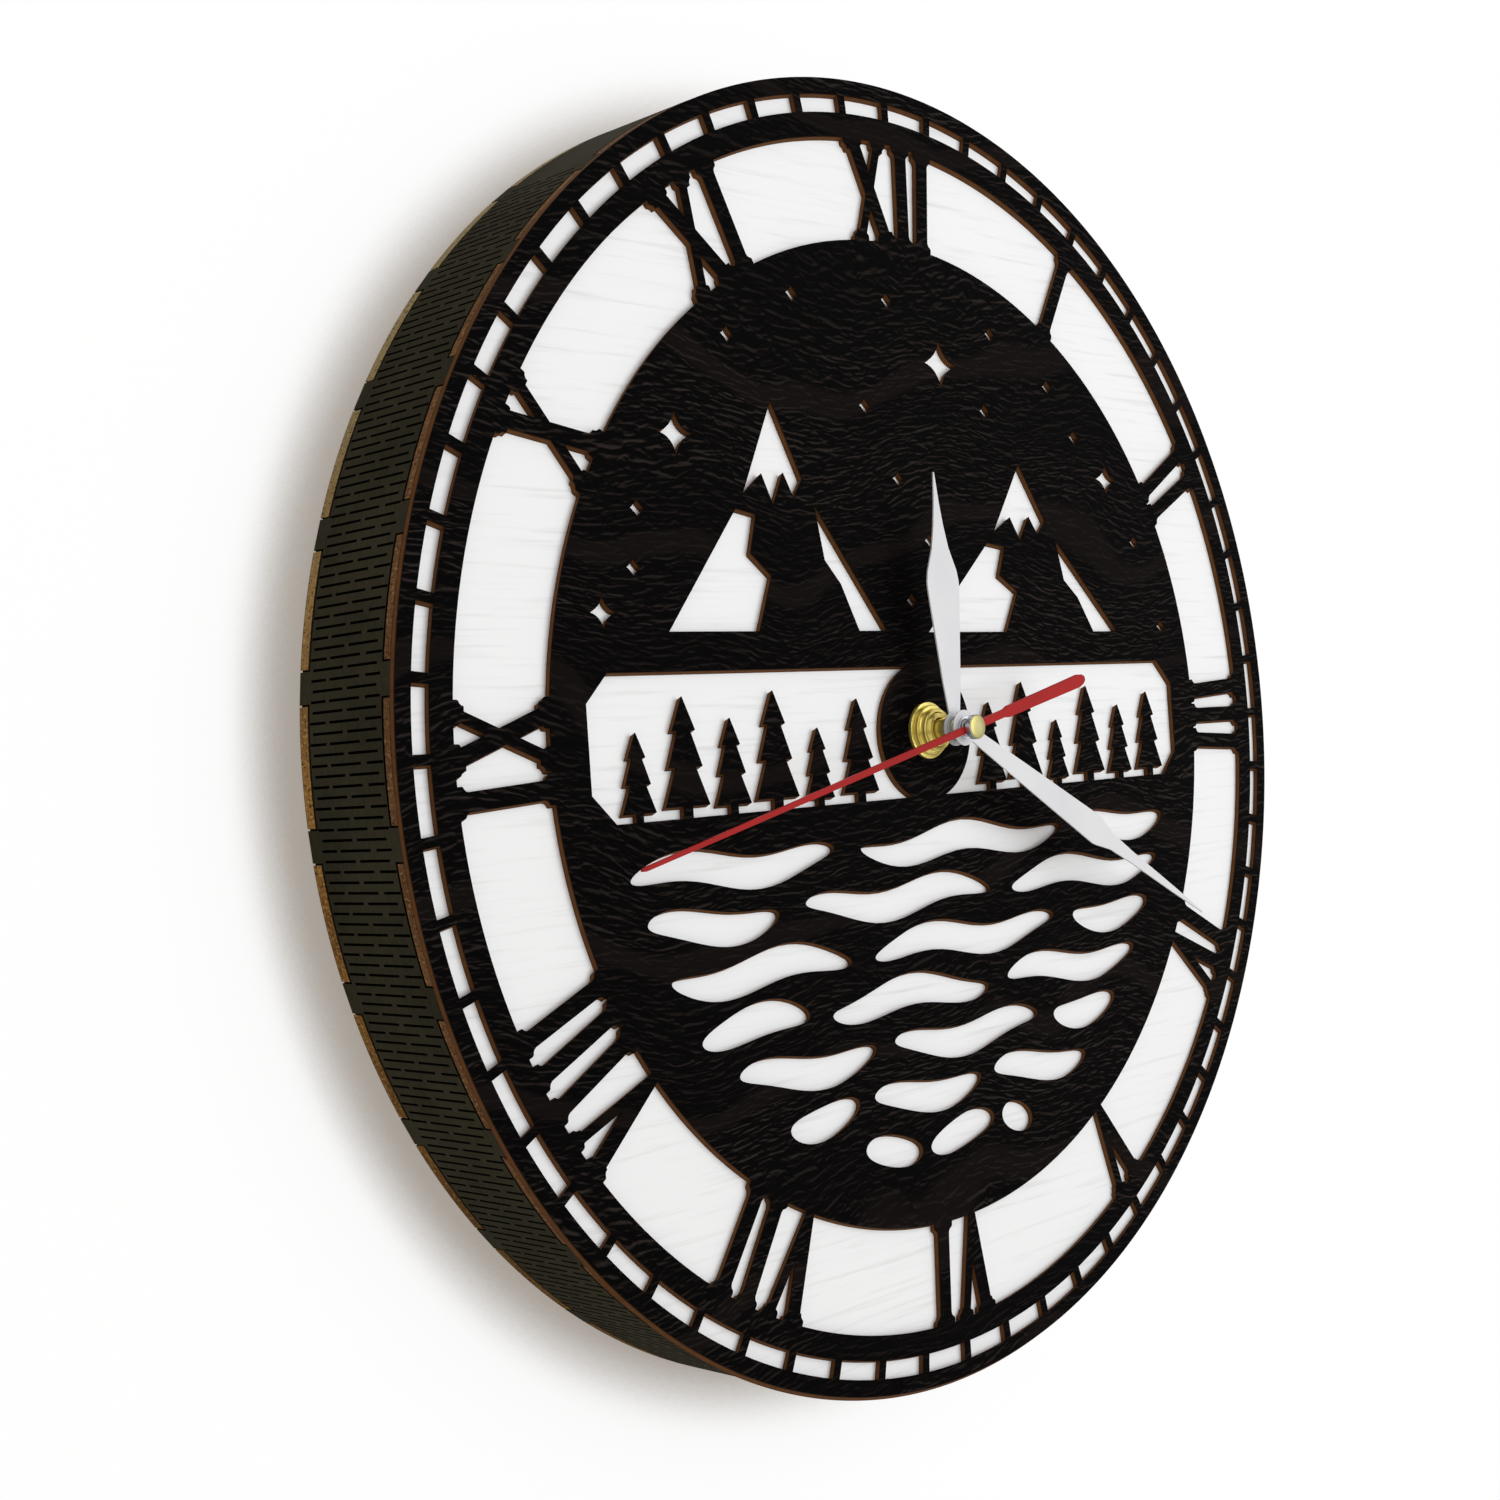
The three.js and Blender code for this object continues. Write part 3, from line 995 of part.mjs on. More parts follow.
function buildFittings() {
  const inletLow = FLANGE_HIGH - BARREL_LENGTH;
  const socketFloor = FLANGE_HIGH - SOCKET_DEPTH;
  const inlet = turned([
    [0, inletLow], [BARREL_RADIUS, inletLow], [BARREL_RADIUS, FLANGE_LOW], [FLANGE_RADIUS, FLANGE_LOW],
    [FLANGE_RADIUS, FLANGE_HIGH], [SOCKET_RADIUS, FLANGE_HIGH], [SOCKET_RADIUS, socketFloor],
    [PIN_RADIUS, socketFloor], [PIN_RADIUS, socketFloor + PIN_LENGTH], [0, socketFloor + PIN_LENGTH],
  ], INLET_DIRECTION);
  addPiece("power_inlet", inlet, BLACK_PLASTIC);
  addPiece("inlet_nut", fittingNut(BARREL_RADIUS, FITTING_NUT, INLET_DIRECTION), SILVER);

  const buttonLow = FLANGE_HIGH - BUTTON_LENGTH;
  const lipLow = FLANGE_HIGH - BUTTON_LIP_THICK;
  const floor = buttonLow + BUTTON_FLOOR;
  const housing = turned([
    [0, buttonLow], [BUTTON_BARREL, buttonLow], [BUTTON_BARREL, FLANGE_LOW], [BUTTON_FLANGE, FLANGE_LOW],
    [BUTTON_FLANGE, FLANGE_HIGH], [BUTTON_LIP, FLANGE_HIGH], [BUTTON_LIP, lipLow], [BUTTON_BORE, lipLow],
    [BUTTON_BORE, floor], [0, floor],
  ], BUTTON_DIRECTION);
  addPiece("button_housing", housing, SILVER);
  addPiece("button_nut", fittingNut(BUTTON_BARREL, BUTTON_NUT, BUTTON_DIRECTION), SILVER);
  const base = BUTTON_BORE - FITTING_GAP;
  const baseHigh = lipLow - FITTING_GAP;
  const top = FLANGE_HIGH + BUTTON_PROUD;
  const button = turned([
    [0, baseHigh - BUTTON_BASE_THICK], [base, baseHigh - BUTTON_BASE_THICK], [base, baseHigh],
    [BUTTON_STEM, baseHigh], [BUTTON_STEM, top - BUTTON_EDGE], [BUTTON_STEM - BUTTON_EDGE, top], [0, top],
  ], BUTTON_DIRECTION);
  addPiece("light_button", button, BLACK_PLASTIC);

  const half = DRIVER_WIDTH / 2;
  const driver = rectangle(DRIVER_X - half, DRIVER_X + half, DRIVER_LOW, DRIVER_LOW + DRIVER_HEIGHT);
  addPiece("light_driver", prism(driver, BACK_FRONT - DRIVER_DEPTH, BACK_FRONT), GREY_PLASTIC);
  buildLeads(inletLow, buttonLow);
}

// Two-core leads, each a round tube that leaves and enters square to what it joins
function lead(name, points) {
  const path = new THREE.CatmullRomCurve3(points.map(([x, y, z]) => new THREE.Vector3(x, y, z)));
  const section = shapeOf(circle(LEAD_RADIUS, LEAD_SIDES));
  const options = { steps: LEAD_STEPS, extrudePath: path, bevelEnabled: false };
  const tube = new THREE.ExtrudeGeometry(section, options);
  addPiece(name, solidOf(tube), RUBBER);
}

const LEAD_DEPTH = (MID_DEPTH + DRIVER_Y) / 2;

function rising(degrees, radius) {
  const [x, z] = onDial(radius, degrees);
  return [x, MID_DEPTH, z];
}

// A lead from the inner end of a fitting to the lower edge of the driver
function fittingLead(name, degrees, start, entryX) {
  const entry = DRIVER_LOW - LEAD_GAP;
  const below = entry - LEAD_RUN;
  const turn = rising(degrees, start - LEAD_RUN);
  lead(name, [
    rising(degrees, start), turn, [(turn[0] + entryX) / 2, LEAD_DEPTH, (turn[2] + below) / 2],
    [entryX, DRIVER_Y, below], [entryX, DRIVER_Y, entry],
  ]);
}

function buildLeads(inletLow, buttonLow) {
  fittingLead("inlet_lead", INLET_DIRECTION, inletLow - LEAD_GAP, DRIVER_X);
  fittingLead("button_lead", BUTTON_DIRECTION, buttonLow - LEAD_GAP, DRIVER_X + DRIVER_WIDTH / 3);

  const side = DRIVER_X - DRIVER_WIDTH / 2 - LEAD_GAP;
  const landing = STRIP_START + LEAD_LANDING;
  const landingRadius = STRIP_INNER * Math.cos((STRIP_SWEEP / LAMP_COUNT / 4) * RADIAN) - LEAD_GAP;
  const near = rising(landing, landingRadius - LEAD_RUN);
  lead("strip_lead", [
    [side, DRIVER_Y, DRIVER_Z], [side - LEAD_RUN, DRIVER_Y, DRIVER_Z],
    [(side - LEAD_RUN + near[0]) / 2, LEAD_DEPTH, (near[2] + DRIVER_Z) / 2], near,
    rising(landing, landingRadius),
  ]);
}

buildDial();
buildPlates();
buildBand();
buildFixing();
buildHands();
buildHousing();
buildTrain();
buildElectrics();
buildStrip();
buildFittings();

export default clock;
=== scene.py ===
"""The looks of a night light wall clock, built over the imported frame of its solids."""
import json
import logging
import math
from collections.abc import Callable, Iterable, Iterator, Sequence
from contextlib import contextmanager
from dataclasses import dataclass
from enum import Enum
from functools import cache
from typing import Any

import bmesh
import bpy
from mathutils import Matrix, Vector
from mathutils.geometry import delaunay_2d_cdt


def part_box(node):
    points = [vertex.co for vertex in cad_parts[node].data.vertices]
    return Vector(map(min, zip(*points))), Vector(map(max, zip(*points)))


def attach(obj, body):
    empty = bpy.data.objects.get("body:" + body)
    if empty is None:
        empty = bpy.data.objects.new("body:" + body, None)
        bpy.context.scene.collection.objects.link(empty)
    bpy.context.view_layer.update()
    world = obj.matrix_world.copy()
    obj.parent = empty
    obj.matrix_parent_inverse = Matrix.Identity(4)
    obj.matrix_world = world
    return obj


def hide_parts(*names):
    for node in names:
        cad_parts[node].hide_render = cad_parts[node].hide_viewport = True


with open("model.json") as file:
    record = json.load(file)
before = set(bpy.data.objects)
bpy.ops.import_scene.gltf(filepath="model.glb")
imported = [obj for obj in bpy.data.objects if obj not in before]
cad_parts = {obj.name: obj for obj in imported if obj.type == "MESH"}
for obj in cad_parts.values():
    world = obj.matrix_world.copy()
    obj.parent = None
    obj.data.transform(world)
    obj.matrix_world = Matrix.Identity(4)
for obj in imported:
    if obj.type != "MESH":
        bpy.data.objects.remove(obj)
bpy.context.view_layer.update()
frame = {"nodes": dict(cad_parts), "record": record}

Point = tuple[float, float]
Span = tuple[float, float]
Triple = tuple[float, float, float]
Colour = tuple[float, float, float, float]
Outline = list[Point]
Surface = dict[str, Any]

LOG = logging.getLogger("clock")
SLOTS = {part["node"]: part["material_slot"] for part in frame["record"]["subparts"]}
WHITE_LIGHT: Colour = (1.0, 1.0, 1.0, 1.0)
MM = 0.001

# Sizes that several pieces share, in millimetres and degrees

RIM = 150.0
SHAFT_HOLE = 4.05
INLET_TURN = 180.0
BUTTON_TURN = 171.0
HOUR_STEP = 30.0

# Fineness of the meshes

SAME_SPOT = 1e-6
OUTLINE_SNAP = 1e-4
INNER_TRIANGLES = 1
ROUND_SHARP = 32.0
HOLE_STEPS = 48
ROUND_STEPS = 64
RING_SOFT = 0.3

# Material slots of a cut board's front, cut walls and rear

CUT_BOARD = (0, 1, 0)

# Numbers of the Mix node's colour sockets, which share their names with those of other kinds

MIX_FIRST, MIX_SECOND, MIX_RESULT = 6, 7, 2


class Body(Enum):
    """Bodies of the frame that new pieces ride on."""

    CASE = "case"
    HOUR = "hour"
    MINUTE = "minute"
    SECOND = "second"
    KNOB = "knob"
    BUTTON = "button"


def depths(node: str) -> Span:
    """Depths of a node's faces nearest to the viewer and to the wall, in metres."""
    low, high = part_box(node)
    return low.y, high.y


def front_of(node: str) -> float:
    """Depth of a node's face nearest to the viewer, in metres."""
    return depths(node)[0]


def rear_of(node: str) -> float:
    """Depth of a node's face nearest to the wall, in metres."""
    return depths(node)[1]


def middle_of(node: str) -> Vector:
    """Centre of a node's box in the row frame."""
    low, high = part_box(node)
    return (low + high) / 2


AXIS = middle_of("brass_washer")
BAND_DEPTHS = rear_of("white_plate"), front_of("back_plate")
BAND_MIDDLE = sum(BAND_DEPTHS) / 2


# Outlines of the dial plane, in millimetres from the axis of the clock

def on_dial(radius: float, degrees: float) -> Point:
    """Point by its radius and its angle clockwise from twelve."""
    turn = math.radians(degrees)
    return radius * math.sin(turn), radius * math.cos(turn)


def moved(outline: Iterable[Point], across: float, up: float) -> Outline:
    """Outline shifted in the dial plane."""
    return [(x + across, z + up) for x, z in outline]


def turned(outline: Iterable[Point], degrees: float) -> Outline:
    """Outline of (across, along) pairs laid out along a direction from the axis.

    Args:
        outline: The pairs.
        degrees: Angle of the direction, clockwise from twelve.

    Returns:
        The outline in the dial plane.
    """
    along_x, along_z = on_dial(1.0, degrees)
    across_x, across_z = on_dial(1.0, degrees + 90)
    return [
        (along * along_x + across * across_x, along * along_z + across * across_z)
        for across, along in outline
    ]


def arc(radius: float, start: float, end: float, steps: int) -> Outline:
    """Points along an arc, both ends included.

    Args:
        radius: Distance from the axis.
        start: First angle in degrees.
        end: Last angle in degrees.
        steps: Number of equal steps between the ends.

    Returns:
        The points in order.
    """
    return [on_dial(radius, start + (end - start) * k / steps) for k in range(steps + 1)]


def circle(radius: float, steps: int, centre: Point = (0.0, 0.0)) -> Outline:
    """Closed circle about a centre."""
    return moved(arc(radius, 0.0, 360.0, steps)[1:], *centre)


def sector(inner: float, outer: float, start: float, end: float, steps: int) -> Outline:
    """Outline of a ring's sector between two angles."""
    return arc(outer, start, end, steps) + arc(inner, end, start, steps)


def anticlockwise(outline: Sequence[Point]) -> list[Vector]:
    """Corners of an outline in anticlockwise order.

    Args:
        outline: The outline, turning either way.

    Returns:
        Its corners.
    """
    following = list(outline[1:]) + [outline[0]]
    area = sum(x * next_z - next_x * z for (x, z), (next_x, next_z) in zip(outline, following))
    corners = [Vector(corner) for corner in outline]
    return corners if area > 0 else corners[::-1]


def first_alone(inside: set[int]) -> bool:
    """Whether a spot lies in the first outline and in no other."""
    return inside == {0}


# Meshes

@contextmanager
def opened(mesh: bpy.types.Mesh) -> Iterator[bmesh.types.BMesh]:
    """Opens a mesh for editing and writes it back.

    Args:
        mesh: The mesh.

    Yields:
        The opened mesh.
    """
    work = bmesh.new()
    work.from_mesh(mesh)
    yield work
    work.to_mesh(mesh)
    work.free()


def dissolve(work: bmesh.types.BMesh, degrees: float) -> None:
    """Joins the faces of an opened mesh that lie in one plane, within an angle."""
    bmesh.ops.dissolve_limit(work, angle_limit=math.radians(degrees), verts=work.verts, edges=work.edges)


def shade(mesh: bpy.types.Mesh, sharp: float | None = None) -> None:
    """Shades a mesh smooth up to an angle in degrees, or flat where none is given.

    Args:
        mesh: The mesh.
        sharp: Angle above which edges stay sharp, or None for flat faces.
    """
    if sharp is None:
        mesh.shade_flat()
    else:
        mesh.shade_smooth()
        mesh.set_sharp_from_angle(angle=math.radians(sharp))


def linked(name: str, data: bpy.types.ID) -> bpy.types.Object:
    """Object for a mesh, a lamp or a camera, linked to the scene.

    Args:
        name: Name of the object.
        data: The mesh, lamp or camera.

    Returns:
        The new object.
    """
    made = bpy.data.objects.new(name, data)
    bpy.context.scene.collection.objects.link(made)
    return made


class Solid:
    """Vertices and faces of one mesh in the making, in the row frame."""

    def __init__(self) -> None:
        """Starts empty."""
        self.vertices: list[Vector] = []
        self.faces: list[tuple[int, ...]] = []
        self.slots: list[int] = []

    def add_face(self, corners: Sequence[int], slot: int) -> None:
        """Adds a face, leaving out corners that fall together.

        Args:
            corners: Numbers of its vertices.
            slot: Its material slot.
        """
        unique = tuple(dict.fromkeys(corners))
        if len(unique) > 2:
            self.faces.append(unique)
            self.slots.append(slot)

    def add_flat(
        self,
        shapes: Sequence[Outline],
        keep: Callable[[set[int]], bool],
        depth: Span,
        slots: tuple[int, int, int] = (0, 0, 0),
    ) -> None:
        """Adds a flat piece cut from overlapping outlines.

        Args:
            shapes: Outlines in millimetres.
            keep: Says of the numbers of the outlines round a spot whether it is solid.
            depth: Depths of the front and rear faces in metres.
            slots: Material slots of the front face, the cut walls and the rear face.
        """
        corners: list[Vector] = []
        rings: list[list[int]] = []
        for outline in shapes:
            start = len(corners)
            corners.extend(anticlockwise(outline))
            rings.append(list(range(start, len(corners))))
        points, _, triangles, _, _, sources = delaunay_2d_cdt(
            corners, [], rings, INNER_TRIANGLES, OUTLINE_SNAP, True
        )
        solid = [tuple(t) for t, inside in zip(triangles, sources) if keep(set(inside))]
        base = len(self.vertices)
        for level in depth:
            self.vertices.extend(
                Vector((AXIS.x + point.x * MM, level, AXIS.z + point.y * MM)) for point in points
            )
        behind = base + len(points)
        edges = {(t[k], t[(k + 1) % 3]) for t in solid for k in range(3)}
        for a, b, c in solid:
            self.add_face((base + a, base + b, base + c), slots[0])
            self.add_face((behind + c, behind + b, behind + a), slots[2])
        for a, b in sorted(edges):
            if (b, a) not in edges:
                self.add_face((base + a, behind + a, behind + b, base + b), slots[1])

    def add_turned(
        self, profile: Sequence[Point], placing: Matrix, steps: int, slots: Sequence[int] = (0,)
    ) -> None:
        """Adds a turned piece.

        Args:
            profile: Closed outline of (radius, height) pairs in millimetres.
            placing: Puts the turning axis, local Z, into the row frame.
            steps: Number of steps round the axis.
            slots: Material slot of each edge of the profile, or one for all.
        """
        rows: list[list[int]] = []
        for radius, height in profile:
            row = []
            for k in range(steps):
                if radius > 0 or k == 0:
                    turn = 2 * math.pi * k / steps
                    spot = Vector((radius * math.cos(turn), radius * math.sin(turn), height)) * MM
                    self.vertices.append(placing @ spot)
                row.append(len(self.vertices) - 1)
            rows.append(row)
        for number, row in enumerate(rows):
            following = rows[(number + 1) % len(rows)]
            slot = slots[number % len(slots)]
            for k in range(steps):
                after = (k + 1) % steps
                self.add_face((row[k], row[after], following[after], following[k]), slot)

    def piece(self, name: str, sharp: float | None = None, recalculate: bool = True) -> bpy.types.Object:
        """Makes the object.

        Args:
            name: Name of the object and its mesh.
            sharp: Angle in degrees above which edges stay sharp, or None for flat faces.
            recalculate: Whether to turn the faces outwards.

        Returns:
            The new object, linked to the scene.
        """
        mesh = bpy.data.meshes.new(name)
        mesh.from_pydata(self.vertices, [], self.faces)
        mesh.polygons.foreach_set("material_index", self.slots)
        with opened(mesh) as work:
            loose = [vertex for vertex in work.verts if not vertex.link_faces]
            bmesh.ops.delete(work, geom=loose, context="VERTS")
            if recalculate:
                bmesh.ops.recalc_face_normals(work, faces=work.faces)
        shade(mesh, sharp)
        return linked(name, mesh)


def flat_piece(
    name: str,
    shapes: Sequence[Outline],
    keep: Callable[[set[int]], bool],
    depth: Span,
    slots: tuple[int, int, int] = (0, 0, 0),
) -> bpy.types.Object:
    """Object of one flat piece.

    Args:
        name: Name of the object and its mesh.
        shapes: Outlines in millimetres.
        keep: Says of the numbers of the outlines round a spot whether it is solid.
        depth: Depths of the front and rear faces in metres.
        slots: Material slots of the front face, the cut walls and the rear face.

    Returns:
        The new object, linked to the scene.
    """
    solid = Solid()
    solid.add_flat(shapes, keep, depth, slots)
    return solid.piece(name, recalculate=False)


def axis_placing(origin: Vector, direction: Vector) -> Matrix:
    """Matrix that lays local Z along a direction from an origin."""
    return Matrix.Translation(origin) @ direction.to_track_quat("Z", "Y").to_matrix().to_4x4()


def towards_viewer(depth: float) -> Matrix:
    """Placing of a turned piece on the clock's axis whose heights rise from a depth."""
    return axis_placing(Vector((AXIS.x, depth, AXIS.z)), Vector((0.0, -1.0, 0.0)))


def outwards(degrees: float) -> Matrix:
    """Placing of a fitting of the band whose heights run out from the clock's axis."""
    x, z = on_dial(1.0, degrees)
    return axis_placing(Vector((AXIS.x, BAND_MIDDLE, AXIS.z)), Vector((x, 0.0, z)))


def bevel(piece: bpy.types.Object, width: float, segments: int = 2, angle: float = 40.0) -> None:
    """Rounds the edges of a piece and bakes the result.

    Args:
        piece: The piece.
        width: Width of the bevel in millimetres.
        segments: Number of faces across the bevel.
        angle: Edges sharper than this many degrees are rounded.
    """
    modifier = piece.modifiers.new("edges", "BEVEL")
    modifier.width = width * MM
    modifier.segments = segments
    modifier.limit_method = "ANGLE"
    modifier.angle_limit = math.radians(angle)
    modifier.harden_normals = False
    bake(piece, modifier)


def bake(piece: bpy.types.Object, modifier: bpy.types.Modifier) -> None:
    """Bakes a modifier into the piece's mesh and removes it.

    Args:
        piece: The piece.
        modifier: Its modifier.
    """
    graph = bpy.context.evaluated_depsgraph_get()
    mesh = bpy.data.meshes.new_from_object(piece.evaluated_get(graph))
    piece.modifiers.remove(modifier)
    piece.data = mesh


# Node trees

def maths(operation: str, reflected: bool = False) -> Callable[..., "Wire"]:
    """Method of a wire that adds a Math node.

    Args:
        operation: The node's operation.
        reflected: Whether the other value comes first.

    Returns:
        The method.
    """
    def method(wire: "Wire", other: Any = 0.0) -> "Wire":
        """The operation over this wire and another value."""
        first, second = (other, wire) if reflected else (wire, other)
        return wire.graph.node("ShaderNodeMath", {"operation": operation}, {0: first, 1: second})
    return method


class Wire:
    """An output socket that takes part in arithmetic."""

    __add__ = maths("ADD")
    __radd__ = maths("ADD", True)
    __sub__ = maths("SUBTRACT")
    __rsub__ = maths("SUBTRACT", True)
    __mul__ = maths("MULTIPLY")
    __rmul__ = maths("MULTIPLY", True)
    __truediv__ = maths("DIVIDE")
    __rtruediv__ = maths("DIVIDE", True)
    __pow__ = maths("POWER")
    __rpow__ = maths("POWER", True)
    sine = maths("SINE")
    cosine = maths("COSINE")
    angle = maths("ARCTAN2")
    above = maths("GREATER_THAN")
    either = maths("MAXIMUM")

    def __init__(self, graph: "Graph", socket: bpy.types.NodeSocket) -> None:
        """Remembers the tree and the socket."""
        self.graph = graph
        self.socket = socket

    def eased(self, low: float, high: float) -> "Wire":
        """Smooth step from 0 at low to 1 at high."""
        settings = {"interpolation_type": "SMOOTHSTEP"}
        return self.graph.node("ShaderNodeMapRange", settings, {"Value": self, 1: low, 2: high})


class Graph:
    """A node tree built through one method."""

    def __init__(self, tree: bpy.types.NodeTree) -> None:
        """Starts on an emptied tree."""
        self.tree = tree
        tree.nodes.clear()

    def node(
        self,
        kind: str,
        settings: dict[str, Any] | None = None,
        sockets: dict[int | str, Any] | None = None,
        output: int | str = 0,
    ) -> Wire | None:
        """Adds a node.

        Args:
            kind: Type of the node.
            settings: Its properties, set first.
            sockets: Values or wires of its inputs; a list joins several wires.
            output: The output to return.

        Returns:
            That output as a wire, or None for a node without outputs.
        """
        made = self.tree.nodes.new(kind)
        for name, value in (settings or {}).items():
            setattr(made, name, value)
        for name, value in (sockets or {}).items():
            for item in value if isinstance(value, list) else [value]:
                if isinstance(item, Wire):
                    self.tree.links.new(item.socket, made.inputs[name])
                else:
                    made.inputs[name].default_value = item
        return Wire(self, made.outputs[output]) if made.outputs else None

    def vector(self, x: Any, y: Any, z: Any) -> Wire:
        """Vector of three values."""
        return self.node("ShaderNodeCombineXYZ", None, {0: x, 1: y, 2: z})

    def parts(self, vector: Wire) -> tuple[Wire, ...]:
        """The three values of a vector."""
        split = self.node("ShaderNodeSeparateXYZ", None, {0: vector})
        return tuple(Wire(self, socket) for socket in split.socket.node.outputs)

    def radius(self, x: Wire, z: Wire) -> Wire:
        """Distance from the clock's axis in metres."""
        return ((x - AXIS.x) ** 2.0 + (z - AXIS.z) ** 2.0) ** 0.5

    def turn(self, x: Wire, z: Wire) -> Wire:
        """Angle round the clock's axis in radians, clockwise from twelve."""
        return (x - AXIS.x).angle(z - AXIS.z)


@dataclass(frozen=True)
class Noise:
    """A noise pattern; along an axis without cells it keeps to one layer."""

    cells: Triple
    detail: float = 3.0
    roughness: float = 0.5
    twist: float = 0.0
    layer: float = 0.0


class Shader(Graph):
    """The tree of a material or of the world."""

    def place(self) -> tuple[Wire, ...]:
        """Object coordinates in metres, one wire for each axis."""
        return self.parts(self.node("ShaderNodeTexCoord", output="Object"))

    def direct_view(self) -> Wire:
        """Tells what the camera sees from what only lights the scene.

        Returns:
            One for rays of the camera and for what is mirrored or seen through, else zero.
        """
        camera, glossy, through = (
            self.node("ShaderNodeLightPath", output=f"Is {kind} Ray")
            for kind in ("Camera", "Glossy", "Transmission")
        )
        return camera.either(glossy).either(through)

    def noise(self, pattern: Noise, *place: Any) -> Wire:
        """Noise from 0 to 1.

        Args:
            pattern: The pattern.
            place: Three coordinates, of which its cells are counted.

        Returns:
            The noise value.
        """
        spot = [value * cells if cells else pattern.layer for value, cells in zip(place, pattern.cells)]
        return self.node("ShaderNodeTexNoise", None, {
            "Vector": self.vector(*spot), "Scale": 1.0, "Detail": pattern.detail,
            "Roughness": pattern.roughness, "Distortion": pattern.twist,
        })

    def mix(self, factor: Any, first: Any, second: Any) -> Wire:
        """Colour between two colours."""
        sockets = {0: factor, MIX_FIRST: first, MIX_SECOND: second}
        return self.node("ShaderNodeMix", {"data_type": "RGBA"}, sockets, MIX_RESULT)

    def bump(self, height: Wire, depth: float) -> Wire:
        """Normal of a relief from 0 to 1 that is a depth in millimetres."""
        return self.node("ShaderNodeBump", None, {"Height": height, "Distance": depth * MM, "Strength": 1.0})

    def between(self, factor: Any, first: Wire, second: Wire) -> Wire:
        """Shader between two shaders."""
        return self.node("ShaderNodeMixShader", None, {0: factor, 1: first, 2: second})


def new_material(label: str) -> tuple[bpy.types.Material, Shader]:
    """A material and its emptied tree.

    Args:
        label: Name of the material.

    Returns:
        The material and its tree.
    """
    made = bpy.data.materials.new(label)
    made.use_nodes = True
    return made, Shader(made.node_tree)


def srgb(red: int, green: int, blue: int) -> Colour:
    """Linear colour of three 8-bit display values.

    Args:
        red: Red, from 0 to 255.
        green: Green.
        blue: Blue.

    Returns:
        The colour, opaque.
    """
    def straight(value: int) -> float:
        """One channel made linear."""
        share = value / 255
        return share / 12.92 if share <= 0.04045 else ((share + 0.055) / 1.055) ** 2.4
    return straight(red), straight(green), straight(blue), 1.0


# Finishes

@dataclass(frozen=True)
class Finish:
    """A named look; each kind of look says how its surface varies."""

    label: str
    roughness: float = 0.5
    specular: float = 0.5
    metallic: float = 0.0

    def surface(self, graph: Shader) -> Surface:
        """Inputs of the surface shader that this look sets."""
        raise NotImplementedError

    @cache
    def material(self) -> bpy.types.Material:
        """The finish as a material, made at its first use.

        Returns:
            The material.
        """
        made, graph = new_material(self.label)
        shader = graph.node("ShaderNodeBsdfPrincipled", None, {
            "Roughness": self.roughness, "Metallic": self.metallic, "Specular IOR Level": self.specular,
            **self.surface(graph),
        })
        graph.node("ShaderNodeOutputMaterial", None, {"Surface": shader})
        return made


@dataclass(frozen=True)
class StainedFace(Finish):
    """Embossed board stained black, its grain running across, its ridges coloured with painted highlights on
    their upper side.
    """

    dark: Colour = srgb(5, 4, 4)
    # Colour of the painted highlights on the upper side of the ridges.
    light: Colour = srgb(41, 35, 32)
    worn: Colour = srgb(24, 19, 17)
    drift: Noise = Noise((9.0, 0.0, 12.0), 2.0)
    sway: float = 0.042
    grain: Noise = Noise((160.0, 0.0, 760.0), 2.0, 0.5, 0.9)
    painted_highlight_step: float = 0.35 / 760.0
    figure: Noise = Noise((6.0, 0.0, 34.0), 2.0, layer=3.0)
    figure_span: Span = (0.36, 0.6)
    figure_least: float = 0.3
    painted_highlight_span: Span = (0.0, 0.22)
    ridge_shine: float = 0.1
    bands: float = 150.0
    band_drift: float = 9.0
    band_span: Span = (0.84, 0.97)
    band_wear: float = 0.5
    band_calm: float = 0.7
    relief: float = 0.35

    def surface(self, graph: Shader) -> Surface:
        """Short wavy ridges with painted highlights on their upper side, broken by broad smooth bands.

        Args:
            graph: The material's tree.

        Returns:
            Inputs of the surface shader by name.
        """
        x, y, z = graph.place()
        drift = graph.noise(self.drift, x, y, z)
        wavy = z + (drift - 0.5) * self.sway
        grain = graph.noise(self.grain, x, y, wavy)
        # The grain against itself a step higher marks the upper side of each ridge, which gets a painted
        # highlight as though lit from above.
        higher = graph.noise(self.grain, x, y, wavy + self.painted_highlight_step)
        figure = graph.noise(self.figure, x, y, wavy).eased(*self.figure_span)
        smooth = (wavy * self.bands + drift * self.band_drift).sine().eased(*self.band_span)
        strength = self.figure_least + (1.0 - self.figure_least) * figure
        painted_ridge_highlight = (grain - higher).eased(*self.painted_highlight_span) * strength
        stained = graph.mix(painted_ridge_highlight, self.dark, self.light)
        return {
            "Base Color": graph.mix(smooth * self.band_wear, stained, self.worn),
            "Roughness": self.roughness - self.ridge_shine * painted_ridge_highlight,
            "Normal": graph.bump(grain * (1.0 - smooth * self.band_calm), self.relief),
        }


@dataclass(frozen=True)
class CutWall(Finish):
    """A look that changes from the front of a cut board to its rear."""

    depth: Span = (0.0, 1.0)

    def through(self, y: Wire) -> Wire:
        """Share of the way from the front to the rear."""
        front, rear = self.depth
        return (y - front) / (rear - front)


